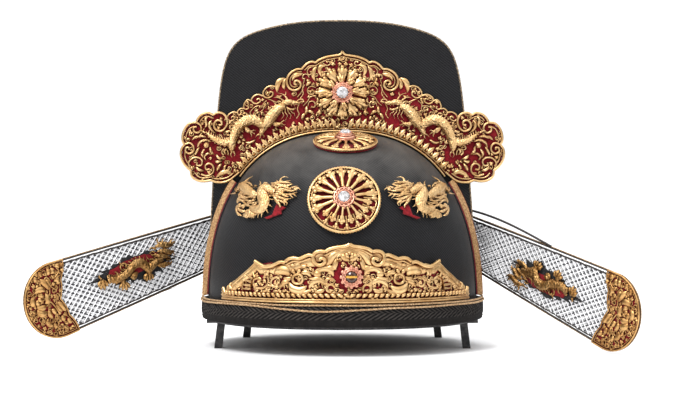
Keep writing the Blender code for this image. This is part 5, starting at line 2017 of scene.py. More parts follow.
BROW_SCROLLS = drawn(
    (RAIL, 1, (2.6, 36.4, 4.6, 35.2, 8.5, 34.6, 12.6, 33.6, 15.4, 31.8), (15.4, 31.8, 17.9, 32.2, 20.8,
        31.5, 22.5, 29.3, 22, 26.1, 20, 24, 17.4, 23.9, 15.6, 25.6, 16.1, 27.6, 18.1, 27.6, 18.6, 26.2),
        (22.5, 29.3, 25.1, 29.8, 28.5, 28.5, 31.4, 27.4, 34.4, 27.9, 37.6, 27.3, 40, 25.5), (40, 24.9, 43.5,
        25.2, 46.5, 24, 50.5, 22.5, 54.7, 22.2, 58.7, 23.6, 62.5, 25.4)),
    (EVEN, 0.8, (2.6, 34.7, 6, 33.9, 9.5, 33.1, 13.1, 31.1, 15.6, 29.5), (22.8, 27.7, 26.1, 27.2, 30.7,
        25.7, 34.3, 26.1, 38, 24.7, 40.1, 23.6), (40.1, 23.6, 43.7, 24.9, 48.3, 23.2, 54.6, 22, 59.6, 23,
        62.3, 24.7)),
    (LEAF, 1.7, (6.1, 32.5, 9.5, 31.1, 12, 28.4, 13.6, 25, 16.2, 23.4)),
    (LEAF, 1.2, (8.6, 28.9, 9.7, 25.7, 10.3, 22.4, 9.4, 20.6)),
    (LEAF, 1.5, (10.9, 17.1, 12.6, 20.6, 17, 21.6, 21, 19, 24.1, 18.3)),
    (LEAF, 1.4, (10.2, 20.6, 12, 22, 14.1, 21.4, 15.1, 23)),
    (BEAD, 2, (20, 18.2)),
    (BEAD, 1.1, (12.8, 19.2)),
    (LEAF, 1.4, (14.6, 11.1, 17.2, 13.8, 20.5, 14.2, 23.7, 12, 25.1, 8.8)),
    (LEAF, 1.2, (15.7, 9.1, 18.7, 7.4, 22.8, 7.2)),
    (LEAF, 1, (16.7, 15.1, 19.3, 15.9, 22.6, 15.3, 26, 15.8)),
    (SPIKE, 0.7, (16.7, 13.8, 17.3, 11.9, 16.7, 10.5), (18.8, 13.3, 19.4, 11.6, 18.9, 10.5)),
    (COMMA, 0.9, (10, 13.8, 11.9, 15.5, 14.3, 15.1, 15.2, 13.3, 14, 11.5)),
    (COMMA, 0.8, (10.3, 7.3, 10, 10.1, 11.9, 11.9, 14.3, 11, 14.3, 8.4, 12.5, 7.3, 11.9, 8.9)),
    (EVEN, 0.8, (28.9, 15.2, 29.9, 17.4, 32.2, 18, 34.5, 17.1, 35.3, 15.1, 34.4, 12.9, 32.1, 12.1, 29.8,
        12.9, 28.9, 15.2)),
    (LEAF, 1.2, (23.7, 16.4, 26.3, 19, 28.8, 18.9, 31.8, 18.4)),
    (LEAF, 1.1, (32.5, 18, 31.1, 20.1, 30.4, 21.2), (33.5, 17.7, 34.9, 20, 35.9, 21.1)),
    (LEAF, 2.4, (37.3, 17.1, 40.2, 19.9, 44.7, 20.1, 48.2, 17.8)),
    (LEAF, 1.2, (39.1, 22, 43.6, 22.5, 48.1, 20.8, 49.2, 18.2)),
    (LEAF, 2.2, (26.6, 10.9, 30.5, 8.1, 35.2, 9.2, 38.2, 13.4)),
    (LEAF, 1.4, (23.7, 8.8, 27.6, 6.6, 32.8, 6.5, 36.4, 7.5)),
    (LEAF, 1.2, (35.9, 16.2, 39, 15, 42.1, 16)),
    (LEAF, 1.4, (37.7, 12.9, 40.9, 12.8, 43.3, 9.5)),
    (SPIKE, 0.7, (39.5, 11.5, 38.8, 10, 39.1, 8.5), (41.1, 11.4, 40.9, 9.8, 41.4, 8.3), (42.7, 11.4, 43.4,
        9.7, 44.1, 8.3)),
    (COMMA, 0.85, (44.2, 15.5, 47.5, 15.8, 50.6, 13.7, 50.1, 10.8, 47.4, 10.3, 46.2, 12, 47.7, 12.6)),
    (LEAF, 1.1, (26.1, 24.5, 28.3, 22.8, 30.7, 24.8)),
    (LEAF, 1, (33.6, 22.7, 35.5, 23.7, 37.4, 22.6), (51.1, 20.7, 53, 18.4, 51.9, 16.2)),
    (COMMA, 1, (51.2, 22.3, 54.6, 21.6, 56, 19.4, 54, 17.9)),
    (COMMA, 0.95, (53.7, 17, 52.5, 13.4, 55.1, 9.7, 60.1, 8.7, 64.3, 10.7, 64.4, 13.9, 61.1, 15.1, 58.7,
        13.9, 59.9, 12.2)),
    (SPIKE, 1, (62.5, 15.2, 64.5, 18, 65.3, 21), (64.3, 14.2, 68.6, 16.2, 71.8, 18), (65, 12.5, 70.2, 13.3,
        75, 13.8), (65.6, 10.3, 71.9, 10.5, 77.8, 11.3)),
    (SPIKE, 0.9, (65.7, 8.4, 71.8, 8, 76.5, 8.8)),
    (COMMA, 0.8, (74.7, 7.1, 74.8, 10.4, 79.8, 12.4, 84.5, 11, 83.2, 8.8)),
    (LEAF, 1, (82.7, 6.8, 86.2, 8.8, 85.2, 11.7)),
    (LEAF, 1.2, (87.2, 4.3, 89.8, 6.4, 89.4, 9.8)),
    (BEAD, 0.9, (7.4, 27.1)),
    (BEAD, 0.8, (5.9, 24.9), (27.1, 22.9)),
    (COMMA, 0.7, (5.3, 30.3, 7.2, 30.3, 8.9, 28.4, 8.2, 26.3)),
    (LEAF, 1.3, (2.6, 26.3, 4.5, 27.6, 5.9, 29.8, 4.5, 31.1)),
    (LEAF, 1, (2.6, 27.6, 3.8, 29, 4.1, 30.7, 3.1, 31.8)),
    (BEAD, 1.1, (2.6, 31)),
)

# Half of the brow plaque's rim, from the end to the finial: shares of the half length and of the height.
BROW_RIM = (
    (1.000, 0.00), (0.975, 0.10), (0.900, 0.27), (0.800, 0.42), (0.710, 0.56), (0.640, 0.70),
    (0.590, 0.63), (0.520, 0.66), (0.460, 0.63), (0.400, 0.68), (0.340, 0.69), (0.285, 0.77),
    (0.230, 0.78), (0.190, 0.87), (0.115, 0.93), (0.045, 0.945), (0.000, 1.00),
)


@dataclass
class BrowPlaque:
    """Openwork plaque along the brow, with its felt and its banded stone."""

    shop: Workshop
    centre_x: float = 0.001
    bottom_z: float = 0.0332
    height: float = 0.0364
    left_end: float = 0.0895
    right_end: float = 0.0965
    stone_x: float = 0.0035
    stone_height: float = 0.0165
    finial_x: float = 0.0026
    lappets: int = 26

    def seat(self) -> SurfaceMap:
        """Table of places round the dome's foot."""
        plan = self.shop.plan
        radius = (plan.half_width + plan.half_length) / 2

        def locate(x: float, y: float) -> tuple[Vector, Vector]:
            """Point on the dome and outward direction at a place of the plaque."""
            way = plan.plan_point((x + self.centre_x) / radius).normalized()
            level = Vector((way.x * radius, way.y * radius, self.bottom_z + y))
            on_face = plan.meet_dome(level, Vector((way.x, way.y, 0)))
            return on_face, plan.dome_normal(on_face)

        return SurfaceMap((-0.1, -0.002), (0.1, 0.04), (60, 10), locate)

    def build(self) -> None:
        """Make the plaque."""
        seat = self.seat()
        edge = self.edge()
        self.make_felt(seat, edge)
        self.make_openwork(seat, edge)
        self.make_stone(seat)

    def edge(self) -> list[Flat]:
        """Closed outline of the plaque."""
        right = [(self.finial_x + across * (self.right_end - self.finial_x), up * self.height)
                 for across, up in BROW_RIM]
        left = [(self.finial_x - across * (self.left_end + self.finial_x), up * self.height)
                for across, up in reversed(BROW_RIM[:-1])]
        return right + left

    def make_felt(self, seat: SurfaceMap, edge: list[Flat]) -> None:
        """Cut the felt behind the plaque, which peeks out above the left half."""
        lifted = [(x, max(y + (0.0016 if -0.055 < x < -0.008 and y > 0.02 else 0), 0.0008))
                  for x, y in inset(edge, 0.0006)]
        self.shop.lay_felt("brow_red_felt", lifted, over(seat.place, DRAPE_GAP * 0.5), RED_FELT, "brow_felt",
                           "front_crown")

    def make_openwork(self, seat: SurfaceMap, edge: list[Flat]) -> None:
        """Cast the rim, the scrolls, the border of lappets and the fillings.

        Args:
            seat: Places on the dome.
            edge: Outline of the plaque.
        """
        relief = Relief("brow_openwork", broad=0.0014, flatness=0.55)
        middle = self.finial_x
        flip = Matrix.Translation((middle * 2, 0, 0)) @ MIRROR
        for taper, width, numbers in BROW_SCROLLS:
            bold = (taper, width * (1.3 if taper is RAIL else 1.2), numbers)
            relief.draw([bold])
            relief.draw([self.stretched(bold)], flip)
        for height, half in ((0.0007, 0.0013), (-0.0013, 0.0032)):
            relief.rail(raised(inset(edge, half), height), half * 1.08, True)
        for half in (0.0038, 0.0056, 0.0074):
            for hand in (-1, 1):
                end = [(x, y) for x, y in inset(edge, half) if (x - middle) * hand > 0.073]
                relief.rail(raised(end, -0.0002), 0.0014)
        for level, width in ((0.0009, 0.0009), (0.0024, 0.0007)):
            start = -self.left_end + 0.0005 + level * 0.4
            end = self.right_end - 0.0005 - level * 0.4
            run = [(start + (end - start) * step / 90, level) for step in range(91)]
            relief.rail(raised(run, width * 0.9), width)
        self.draw_lappets(relief)
        clear = [(self.stone_x - self.centre_x, self.stone_height, 0.0075)]
        inner = inset(edge, margin=0.0015)
        relief.fill(inner, spacing=0.0034, seed=5, size=1.0, margin=0.0004, clear=clear)
        relief.fill(inner, spacing=0.0027, seed=23, size=0.8, margin=0.0001, clear=clear)
        self.shop.finish(relief.cast(over(seat.place, CAST_LAYER)), GOLD, ["brow_plaque"], ROUNDED)

    def draw_lappets(self, relief: Relief) -> None:
        """Draw the border of slanted lappets along the foot.

        Args:
            relief: Relief that takes them.
        """
        middle = self.finial_x
        for step in range(self.lappets):
            for side in (-1, 1):
                reach = self.right_end - middle if side > 0 else self.left_end + middle
                x = side * (step + 0.5) / self.lappets * (reach - 0.005)
                foot = Vector((x + middle - side * 0.0016, 0.0034))
                bend, tip = Vector((side * 0.0012, 0.0018)), Vector((side * 0.0036, 0.0026))
                relief.line([foot, foot + bend, foot + tip], 0.00125, LEAF, IDENTITY, 0.0002)

    def stretched(self, row: Row) -> Row:
        """Stretch a row away from the middle, because the left half is the longer one.

        Args:
            row: Row of the right half.

        Returns:
            The stretched row.
        """
        taper, width, numbers = row
        middle = self.finial_x * 1000
        share = (self.left_end * 1000 + middle) / (self.right_end * 1000 - middle)
        moved = [middle + (value - middle) * share if index % 2 == 0 else value
                 for index, value in enumerate(numbers)]
        return taper, width, tuple(moved)

    def make_stone(self, seat: SurfaceMap) -> None:
        """Set the banded stone."""
        base = seat.place(self.stone_x, self.stone_height, CAST_LAYER + 0.0009)
        flat = level_seat(base, self.shop.plan.dome_normal(base))
        gem = BandedStone("banded_brown_stone", "tiger_eye", base.z + 0.0002)
        Setting(stone=0.0037, collet=0.0074, height=0.0034).make(self.shop, "brow", flat, gem, ["brow_stone"])


# Dragons on the dome

DOME_DRAGON = drawn(
    (BODY, 0.9, (5.2, 6.1, 1.8, 0.7, 6.6, 2.4, -4.6, 7.7, 3, -6.4, 5.9, 3.3, -3, 1.8, 3.8, 0.6, -2, 4, 0.1,
        -6.2, 3.6, -4.9, -7.9, 2.6, -10.2, -7.1, 1.8)),
    (BODY, 0.7, (-8.6, 1.4, 1.6, -15, 3.3, 2.4, -23.8, 6.4, 2.9, -31.9, 9.3, 2.4, -38.3, 11.3, 1.2)),
    (LEAF, 2.6, (-0.6, 8.7, 2.7, 10.6, 7.6, 10.9, 12.8, 10, 16.4, 9.7)),
    (LEAF, 2.3, (2.1, 6.4, 6.2, 7.3, 10.1, 8.4, 15.5, 8.4, 18.8, 9.9)),
    (LEAF, 1.7, (4.2, 4.8, 9.1, 4.9, 13.5, 5.4, 17.5, 6.6, 20, 9)),
    (BEAD, 1.5, (8, 9.3)),
    (BEAD, 1.3, (13.4, 9.6), (18.2, 10.5)),
    (SPIKE, 0.9, (5.8, 12.6, 4.5, 15.3, 5.7, 17.4, 8.5, 17.5), (9.7, 12.1, 9.4, 14.3, 11.7, 15.6), (12.3,
        11, 13.3, 12.8, 13.4, 13.9)),
    (SPIKE, 0.8, (2.9, 11.8, 2.8, 13.3, 0.6, 14.4), (1.1, 10.4, -1.5, 11.6, -1.6, 10.4), (15.9, 10.7, 17,
        12.1, 18.8, 12.9), (18, 10.8, 19.8, 11.6, 21.3, 10.7), (16.1, 6.3, 17.7, 5.2, 19.2, 4.4), (18, 7.1,
        19.7, 6.4, 20.7, 6.1), (0.3, 7.3, -0.4, 6.1, 0.9, 4.4)),
    (SPIKE, 0.7, (0.9, 8.5, -1.2, 8.2, -1.4, 9.3)),
    (LEAF, 2.2, (3.3, 4, 7.9, 3.2, 11.4, 2.4, 14.4, 1.6)),
    (LEAF, 1.7, (5.8, 1.5, 10.2, 0.8, 14.3, 0.2, 15.7, -1.6)),
    (SPIKE, 0.9, (13.1, 2.1, 14.6, 3.1, 13.8, 4), (14.1, 1.6, 16.2, 2.4, 15.6, 3.3), (14.4, 0.9, 16.6, 0.4,
        16.4, -1.4)),
    (SPIKE, 0.8, (-10.4, 9, -11.4, 10.9, -14.2, 12.8), (-7.2, 9.6, -7.5, 11.5, -5, 11.3), (-12.9, 8.2,
        -16.2, 8.9, -16, 7.2), (-3.1, 9.2, -4.1, 10.6, -6.4, 12)),
    (LEAF, 2.4, (-35.5, 5.1, -35.5, 8.9, -30.5, 11.5, -24.9, 11.4)),
    (LEAF, 2.2, (-31.3, 3.1, -26, 3.5, -19.6, 2.6, -15.5, 4)),
    (LEAF, 1.8, (-30.3, 6, -24.4, 6.4, -20.5, 7.8, -20.9, 9.7)),
    (BEAD, 1.9, (-30.3, 9.1)),
    (SPIKE, 0.9, (-30.3, 12.6, -28.3, 14.9, -25.4, 16.7), (-24.5, 11, -20, 9.3, -18.2, 7.7), (-35, 5.4,
        -41.3, 7.9, -42.2, 10), (-36, 4.8, -40.2, 4.6, -46.2, 4.9), (-30.1, 2.7, -28.8, 1.1, -31.5, 1.9),
        (-26.4, 3.1, -26.2, 1.3, -24, 0.1)),
    (LEAF, 2.2, (-28.7, -3.6, -27.3, -0.8, -22.4, 0.4, -16.2, 0)),
    (LEAF, 2.4, (-28.3, -5, -23.1, -8, -17.6, -9.4, -13.9, -9)),
    (BEAD, 2.2, (-23.8, -5.9)),
    (LEAF, 1.7, (-23.8, -2.1, -18.5, -1.8, -12.6, -2.4, -8.9, -0.8)),
    (LEAF, 1.5, (-17.6, -5.3, -14, -3.8, -9.9, -3.6, -6.7, -2)),
    (LEAF, 1.8, (-11.2, -7.2, -8.4, -5.6, -5.1, -5.4, -3.8, -3.2)),
    (LEAF, 1.4, (-20.4, -7.4, -18.3, -6, -20.3, -4.6)),
    (BODY, 0.8, (-15.7, -12.1, 1, -13.3, -11.4, 1.7, -9.5, -10.6, 1.9, -6.1, -10.6, 1.7, -4.6, -9.8, 0.9)),
    (BEAD, 1.4, (-11.4, -12.3)),
    (BEAD, 1.3, (-7.1, -11.7)),
    (LEAF, 1.2, (-14.1, -9.7, -11.4, -8.9, -7.3, -9)),
)

DOME_FELT = (
    2.4, -10.3, 7.3, -7.9, 7.7, -3.8, 7.9, -1.3, 11.3, -1.8, 14.1, -2.1, 12.3, -4.3, 13,
    -6.2, 8.7, -8.4, 5, -10.6,
)


@dataclass
class DomeDragons:
    """Two cast dragons on the front of the dome, each with a scrap of felt."""

    shop: Workshop
    across: float = 0.047
    height: float = 0.0965
    tilt: float = math.radians(6)

    def build(self) -> None:
        """Make both dragons."""
        plan = self.shop.plan
        for side in Side:
            point = plan.front_centre(side.value * self.across, self.height)
            seat = dome_seat(plan, point, side.value * self.tilt, 0.034, 0.024)
            turn = IDENTITY if side is Side.LEFT else MIRROR
            scrap = [(-side.value * x * 1.12, y * 1.12) for x, y in knots(DOME_FELT)]
            node = "dome_dragon_" + side.word
            self.shop.lay_felt("dome_felt_scrap_" + side.word, scrap, over(seat.place, DRAPE_GAP * 0.5),
                               RED_FELT, node + "_felt", "front_crown")
            relief = Relief("dome_dragon_cast_" + side.word, 0.00125, 0.6)
            relief.draw(finer(DOME_DRAGON), turn)
            add_fins(relief, DOME_DRAGON, turn)
            self.shop.finish(relief.cast(over(seat.place, CAST_LAYER)), CHASED_GOLD, [node], ROUNDED)


# Side wings

WING_DRAGON = drawn(
    (BODY, 0.8, (88.7, 1.2, 1.6, 93.1, 1, 2.2, 97.9, -0.7, 2.6, 101.1, -1.9, 2.7, 102.6, 1.4, 2.6, 106, 4.3,
        2.8, 110.2, 4.6, 2.9, 114, 3, 2.8, 117.4, 0.9, 2.6, 121.6, -0.5, 2.4, 126, -1.3, 2.2, 129.5, -0.5,
        1.9, 132.7, 1.3, 1.3)),
    (LEAF, 2.1, (92.2, 10.8, 86.3, 11, 81.1, 8.9, 74.6, 9.7)),
    (LEAF, 1.9, (90.8, 7.1, 85.7, 6.7, 81.7, 3.8, 77.7, 4.1)),
    (LEAF, 1.7, (93.8, 5.3, 89.8, 4, 85.4, 2.6, 81.7, 0.1)),
    (BEAD, 1.5, (84.6, 9.6)),
    (BEAD, 1.4, (79.4, 9.1)),
    (BEAD, 1.3, (87.7, 6.1)),
    (SPIKE, 0.9, (88.5, 11.7, 89.1, 14.7, 86.9, 15.6), (85.7, 11.6, 84.6, 13.7, 81.9, 14.4), (79.4, 10,
        77.9, 11.5, 75.5, 11.4)),
    (SPIKE, 0.8, (92, 9.6, 94.9, 11.3, 97.1, 10.4), (93.5, 8, 95.2, 8.6, 97.4, 7.6), (92.6, 6.1, 95.4, 6.2,
        96.3, 8.1), (95.7, 3.5, 99.2, 4.6, 100.1, 8.1), (79.2, 3.8, 78.3, 1.9, 79.2, 0.5)),
    (LEAF, 1.8, (94.2, 0.5, 90.7, -2.2, 86, -2.9, 83, -2.3)),
    (SPIKE, 0.9, (84.5, -2.6, 82.3, -3.4, 81.4, -2), (85.2, -3.2, 83.5, -4.2, 82.5, -4.1), (85.2, 0, 83,
        -0.7, 81.3, -0)),
    (LEAF, 2, (100.8, -2.2, 101, -4.5, 102, -6.6)),
    (LEAF, 1.3, (101.8, -4.3, 105.1, -5.6, 106, -7.7), (101.7, -4.7, 104.1, -7.1, 104.5, -9.4), (101.3,
        -4.8, 101.9, -7.9, 102.2, -9.4), (100.7, -4.6, 99.4, -7.5, 100.1, -8.9)),
    (LEAF, 1.8, (115, -0.7, 112.6, -1.9, 109.1, -1.4)),
    (LEAF, 1.5, (115.9, -2, 113.5, -3.6, 110.2, -3.5)),
    (LEAF, 1.9, (121.9, -1.6, 122.3, -4.7, 122, -6.8)),
    (LEAF, 1.3, (122.3, -4.7, 125, -5.8, 126.3, -7), (122.1, -4.8, 123.5, -7.1, 124.2, -9.3), (121.7, -4.9,
        121.4, -7.8, 121.6, -10.2), (121.4, -4.6, 119.2, -6.9, 118.9, -9.1), (133, 2, 132.7, -0.4, 133.2,
        -1.9)),
    (LEAF, 1.7, (136.5, 2.4, 137.5, -0, 138.3, -2.2)),
    (LEAF, 1.4, (137, 1.8, 139.9, 0.4, 141.4, -1.5), (137.2, 1, 139.1, -1.5, 140, -4), (137, 1, 137, -2.2,
        137.5, -4.8), (136.5, 1.6, 134.9, -1.3, 134.4, -3.1)),
    (SPIKE, 0.8, (138.2, 3, 139.1, 4.9, 137.5, 6.3), (133, 2, 132.5, 3.5, 131.2, 3.4), (124.5, 0.8, 125.5,
        3.6, 127.1, 4.5)),
    (COMMA, 0.8, (118.8, 2.6, 121.5, 4.6, 121.3, 7, 118.3, 7.6, 116.9, 5.9, 118.2, 4.7)),
    (SPIKE, 0.8, (119.6, 6.4, 121.3, 8.6, 121.7, 10.3)),
)

WING_TIP = drawn(
    (BEAD, 1.7, (185.3, 3.9)),
    (LEAF, 2.1, (187.6, 8.8, 184.9, 10.2, 181.8, 9.7, 180.1, 7.5)),
    (LEAF, 2, (180.3, 6.8, 179.6, 3.6, 180.6, 1.1, 182.6, 0.5), (188.2, 6.9, 190.3, 5.2, 190.9, 2.5, 189,
        1), (188.6, 0.5, 186.4, -1.5, 183.7, -1.6, 182, -0.5)),
    (LEAF, 1.6, (186.1, 6.2, 183.7, 6.3, 181.9, 4.4), (187, 4.5, 187.3, 2.1, 185.4, 0.6)),
    (LEAF, 2.2, (188.4, -1.6, 187.7, -4.3, 184.9, -5.7, 181.4, -4.9)),
    (LEAF, 1.6, (180.7, -4.3, 180.7, -7.6, 178.9, -10.7), (179, -4.8, 177.1, -6.3, 176.6, -9.4)),
    (LEAF, 2.1, (181.6, 16.7, 179.6, 13.9, 178, 11.3, 177.2, 7.8)),
    (LEAF, 1.8, (177.8, 15.4, 176.6, 12.9, 176.1, 9.9)),
    (EVEN, 0.6, (175, 12, 176.6, 8.4, 177.4, 5.4, 179.7, 4.1), (178, 13, 178.7, 15.3, 177, 16.4, 175.2,
        14.5, 175, 12)),
    (COMMA, 0.8, (183.6, -1.2, 180.8, -1.3, 178.4, 0.3, 176.4, -2.4, 174.7, -6.3, 173.7, -9.2)),
    (LEAF, 1.8, (172.2, 11.9, 170.1, 12.8, 169.2, 10.9, 171.4, 9.9)),
    (COMMA, 0.8, (174.5, 8.9, 172.3, 6.9, 170.6, 8, 172.2, 9)),
    (COMMA, 0.9, (176.9, 2.3, 174.7, 3.6, 172.2, 2.4, 172.2, 0.7, 175.7, 0.2)),
    (LEAF, 1.8, (173.3, -1.4, 171.2, -3.8, 169.4, -7.3, 168.5, -9.3)),
    (LEAF, 1.7, (174.7, -3, 172.9, -6.5, 171.6, -8.6), (173.3, -11, 171.9, -12.7, 171.8, -15.6), (169,
        -14.1, 167.7, -16.2, 166.7, -17.8), (184.9, -10.7, 182.6, -13.9, 180.3, -15.6)),
    (LEAF, 1.5, (179.7, -13.7, 178.6, -16.2, 179.6, -17.9)),
    (LEAF, 1.6, (182, 21.7, 180.7, 19.6, 180.4, 17.5)),
    (LEAF, 1.7, (185.4, 19.6, 185.1, 17.4, 186.5, 15.8), (175.6, 21.2, 174.2, 19.5, 175.9, 17.2), (172.3,
        21.4, 171.1, 18.9, 173.4, 17.6)),
    (LEAF, 1.5, (169.4, 21.7, 166.7, 21.2, 166.4, 19)),
    (COMMA, 0.8, (165.5, 22, 163.2, 21.7, 165, 20.6), (168.3, 20.5, 166.8, 17.5, 169.3, 15.5, 171.6,
        14.1)),
    (LEAF, 1.3, (166.2, 18.1, 164.5, 17.6, 165.4, 15.8)),
)


@dataclass
class Wing:
    """Side wing: bound wires, open net, end plaque and a dragon on felt."""

    shop: Workshop
    side: Side
    sweep: float
    droop: float
    root_z: float
    length: float = 0.197
    root_half_width: float = 0.0144
    end_radius: float = 0.0247
    wire: float = 0.0009
    lane: float = 0.0019
    net: float = 0.0008
    tip_length: float = 0.0355
    tip_notch: float = 0.0095
    pitch: float = 0.0032
    weave: tuple[float, float] = (math.radians(33), math.radians(-40))
    gauze_heights: tuple[float, float] = (-0.00022, 0.00012)
    net_heights: tuple[float, float] = (0.0006, 0.0009)
    net_radius: float = 0.00041

    def __post_init__(self) -> None:
        """Work out the wing's root and its directions."""
        plan = self.shop.plan
        side = self.side.value
        flat = Vector((side * math.cos(self.sweep), -math.sin(self.sweep), 0))
        outward = Vector((side * math.sin(self.sweep), math.cos(self.sweep), 0))
        power = plan.plan_power / (plan.plan_power - 1)
        lowest = self.root_z - self.root_half_width
        half_width = plan.hood_half_width(lowest)
        wide = abs(half_width * outward.x)
        long = abs(plan.half_length * outward.y)
        reach = (wide ** power + long ** power) ** (1 / power)
        touch = Vector((side * half_width * (wide / reach) ** (power - 1) + plan.hood_shift(lowest),
                        plan.half_length * (long / reach) ** (power - 1), self.root_z))
        self.root = touch + outward * (self.wire + GAP)
        self.along = flat * math.cos(self.droop) - Vector((0, 0, math.sin(self.droop)))
        self.facing = -outward
        self.up = self.facing.cross(self.along) * side

    def place(self, x: float, y: float, height: float) -> Vector:
        """Point of the wing's pattern: x from the root, y up and height to the front."""
        return self.root + self.along * x + self.up * y + self.facing * height

    def half_width(self, x: float) -> float:
        """Half width at a distance from the root, round at the tip."""
        straight = self.length - self.end_radius
        if x <= straight:
            return self.root_half_width + (self.end_radius - self.root_half_width) * (x / straight) ** 0.8
        return math.sqrt(max(self.end_radius ** 2 - (x - straight) ** 2, 0))

    def upper_edge(self, start: float, margin: float, steps: int, turns: int) -> list[Flat]:
        """Upper edge from a start to the tip, moved in by a margin.

        Args:
            start: Distance of the start from the root.
            margin: Distance to the wing's edge.
            steps: Number of spans before the round end.
            turns: Number of spans round it.

        Returns:
            The edge.
        """
        straight = self.length - self.end_radius
        places = [start + (straight - start) * step / steps for step in range(steps)]
        edge = [(x, self.half_width(x) - margin) for x in places]
        radius = self.end_radius - margin
        for turn in range(turns + 1):
            angle = QUARTER * (1 - turn / turns)
            edge.append((straight + radius * math.cos(angle), radius * math.sin(angle)))
        return edge

    def outline(self, start: float, margin: float, steps: int = 20, turns: int = 12) -> list[Flat]:
        """Closed outline of the wing from a start."""
        edge = self.upper_edge(start, margin, steps, turns)
        return edge + [(x, -y) for x, y in reversed(edge[:-1])]

    def build(self) -> None:
        """Make the wing."""
        self.make_wires()
        self.make_net()
        self.make_felts()
        self.make_tip()
        self.make_dragon()

    def make_wires(self) -> None:
        """Bind the two dark wires and lay the gold thread along the outer one."""
        word = self.side.word
        dice = random.Random(3 + self.side.value)
        outer = raised(self.outline(0.0, self.wire, 60, 24), 0)
        inner = raised(self.outline(0.0025, self.wire + self.lane, 60, 24), 0)
        uneven = [point + Vector((0, 0, dice.uniform(-0.0001, 0.0001))) for point in outer]
        dark = [Strand(uneven, [0.00066], True)]
        end = self.length - self.tip_length + 0.004
        for way in (1, -1):
            uneven = [point + Vector((dice.uniform(-0.0002, 0.0002), dice.uniform(-0.0002, 0.0002), 0.0007))
                      for point in inner if point.y * way > 0 and point.x < end]
            dark.append(Strand(uneven, [0.00068]))
        if self.side is Side.RIGHT:
            dark.append(self.sprung(start=0.002, end=0.108, way=1, rise=0.0042, radius=0.0008))
        else:
            dark.append(self.sprung(start=0.012, end=0.092, way=-1, rise=0.0022, radius=0.00018))
        bound = wires("wing_bound_wires_" + word, dark)
        self.shop.finish(laid(bound, self.place), BOUND_WIRE, ["wing_frame_" + word], ROUNDED)
        rim = raised(self.outline(0.0, 0.00018, 60, 24), 0.0001)
        thread = wires("wing_gold_thread_" + word, [Strand(rim, [0.0004], True)])
        self.shop.finish(laid(thread, self.place), OLD_THREAD, angle=ROUNDED)

    def sprung(self, start: float, end: float, way: int, rise: float, radius: float) -> Strand:
        """Bend a binding that has sprung loose from an edge.

        Args:
            start: Where it leaves the edge, from the root.
            end: Where it meets the edge again.
            way: 1 for the upper edge and -1 for the lower.
            rise: Greatest distance from the edge.
            radius: Radius of the binding.

        Returns:
            The loose run.
        """
        run = []
        for step in range(25):
            share = step / 24
            x = start + (end - start) * share
            slack = rise * math.sin(math.pi * share ** 0.85)
            run.append(Vector((x, way * (self.half_width(x) + slack), 0.0002)))
        return Strand(run, [radius])

    def across_net(self, angle: float, pitch: float, seed: int, jitter: float,
                   phase: float) -> list[tuple[Vector, Vector]]:
        """Ends of evenly spaced straight threads inside the net.

        Args:
            angle: Direction of the threads.
            pitch: Distance between them.
            seed: Start of the seeded unevenness.
            jitter: Greatest offset of a thread's end, as a share of the pitch.
            phase: Place of the first thread, as a share of the pitch.

        Returns:
            Start and end of each thread.
        """
        dice = random.Random(seed)
        edge = self.outline(0.0005, self.wire + self.lane, 24, 8)
        way = ray(angle)
        normal = Vector((-way.y, way.x))
        levels = [Vector(point).dot(normal) for point in edge]
        threads = []
        level = min(levels) + pitch * phase
        while level < max(levels):
            hits = []
            for first, second in edges(edge):
                a, b = Vector(first), Vector(second)
                over, under = a.dot(normal) - level, b.dot(normal) - level
                if (over > 0) != (under > 0):
                    hits.append(a.lerp(b, over / (over - under)))
            if len(hits) >= 2:
                hits.sort(key=lambda point: point.dot(way))
                ends = [hits[0], hits[-1]]
                shifted = [end + normal * dice.uniform(-jitter, jitter) * pitch for end in ends]
                threads.append((shifted[0], shifted[1]))
            level += pitch
        return threads

    def make_net(self) -> None:
        """Weave the dark gauze and the pale net over it."""
        word = self.side.word
        dark: list[Strand] = []
        pale: list[Strand] = []
        for index, angle in enumerate(self.weave):
            for pitch, radius, phase in ((self.pitch / 4, 0.00015, 0.5), (self.pitch, 0.0004, 0.9)):
                threads = self.across_net(angle, pitch, seed=11 + index, jitter=0.16, phase=phase)
                dark += [Strand(raised(ends, self.gauze_heights[index]), [radius]) for ends in threads]
            threads = self.across_net(angle, self.pitch, seed=31 + index, jitter=0.1, phase=0.4)
            pale += [Strand(raised(ends, self.net_heights[index]), [self.net_radius]) for ends in threads]
        for name, strands, finish in (("wing_dark_gauze_", dark, GAUZE_THREAD),
                                      ("wing_pale_net_", pale, PALE_THREAD)):
            piece = laid(wires(name + word, strands, 0), self.place)
            self.shop.finish(piece, finish, ["wing_net_" + word], ROUNDED)

    def tip_outline(self, margin: float) -> list[Flat]:
        """Outline of the end plaque, with its scalloped inner edge.

        Args:
            margin: Distance to the wing's edge.

        Returns:
            The outline.
        """
        start = self.length - self.tip_length + 0.001
        edge = self.upper_edge(start, margin, 8, 16)
        scallops = []
        half = edge[0][1]
        for step in range(1, 24):
            share = step / 24 * 2 - 1
            lobes = abs(math.sin(abs(share) * math.pi * 2)) * 0.0012
            x = start + self.tip_notch * (1 - abs(share) ** 1.2) * 0.85 - lobes
            scallops.append((x, share * half))
        return edge + [(x, -y) for x, y in reversed(edge[:-1])] + scallops

    def make_felts(self) -> None:
        """Cut the felts behind the end plaque and the dragon."""
        front = self.net / 2 + GAP
        scraps = front + 0.0006
        hand = -self.side.value
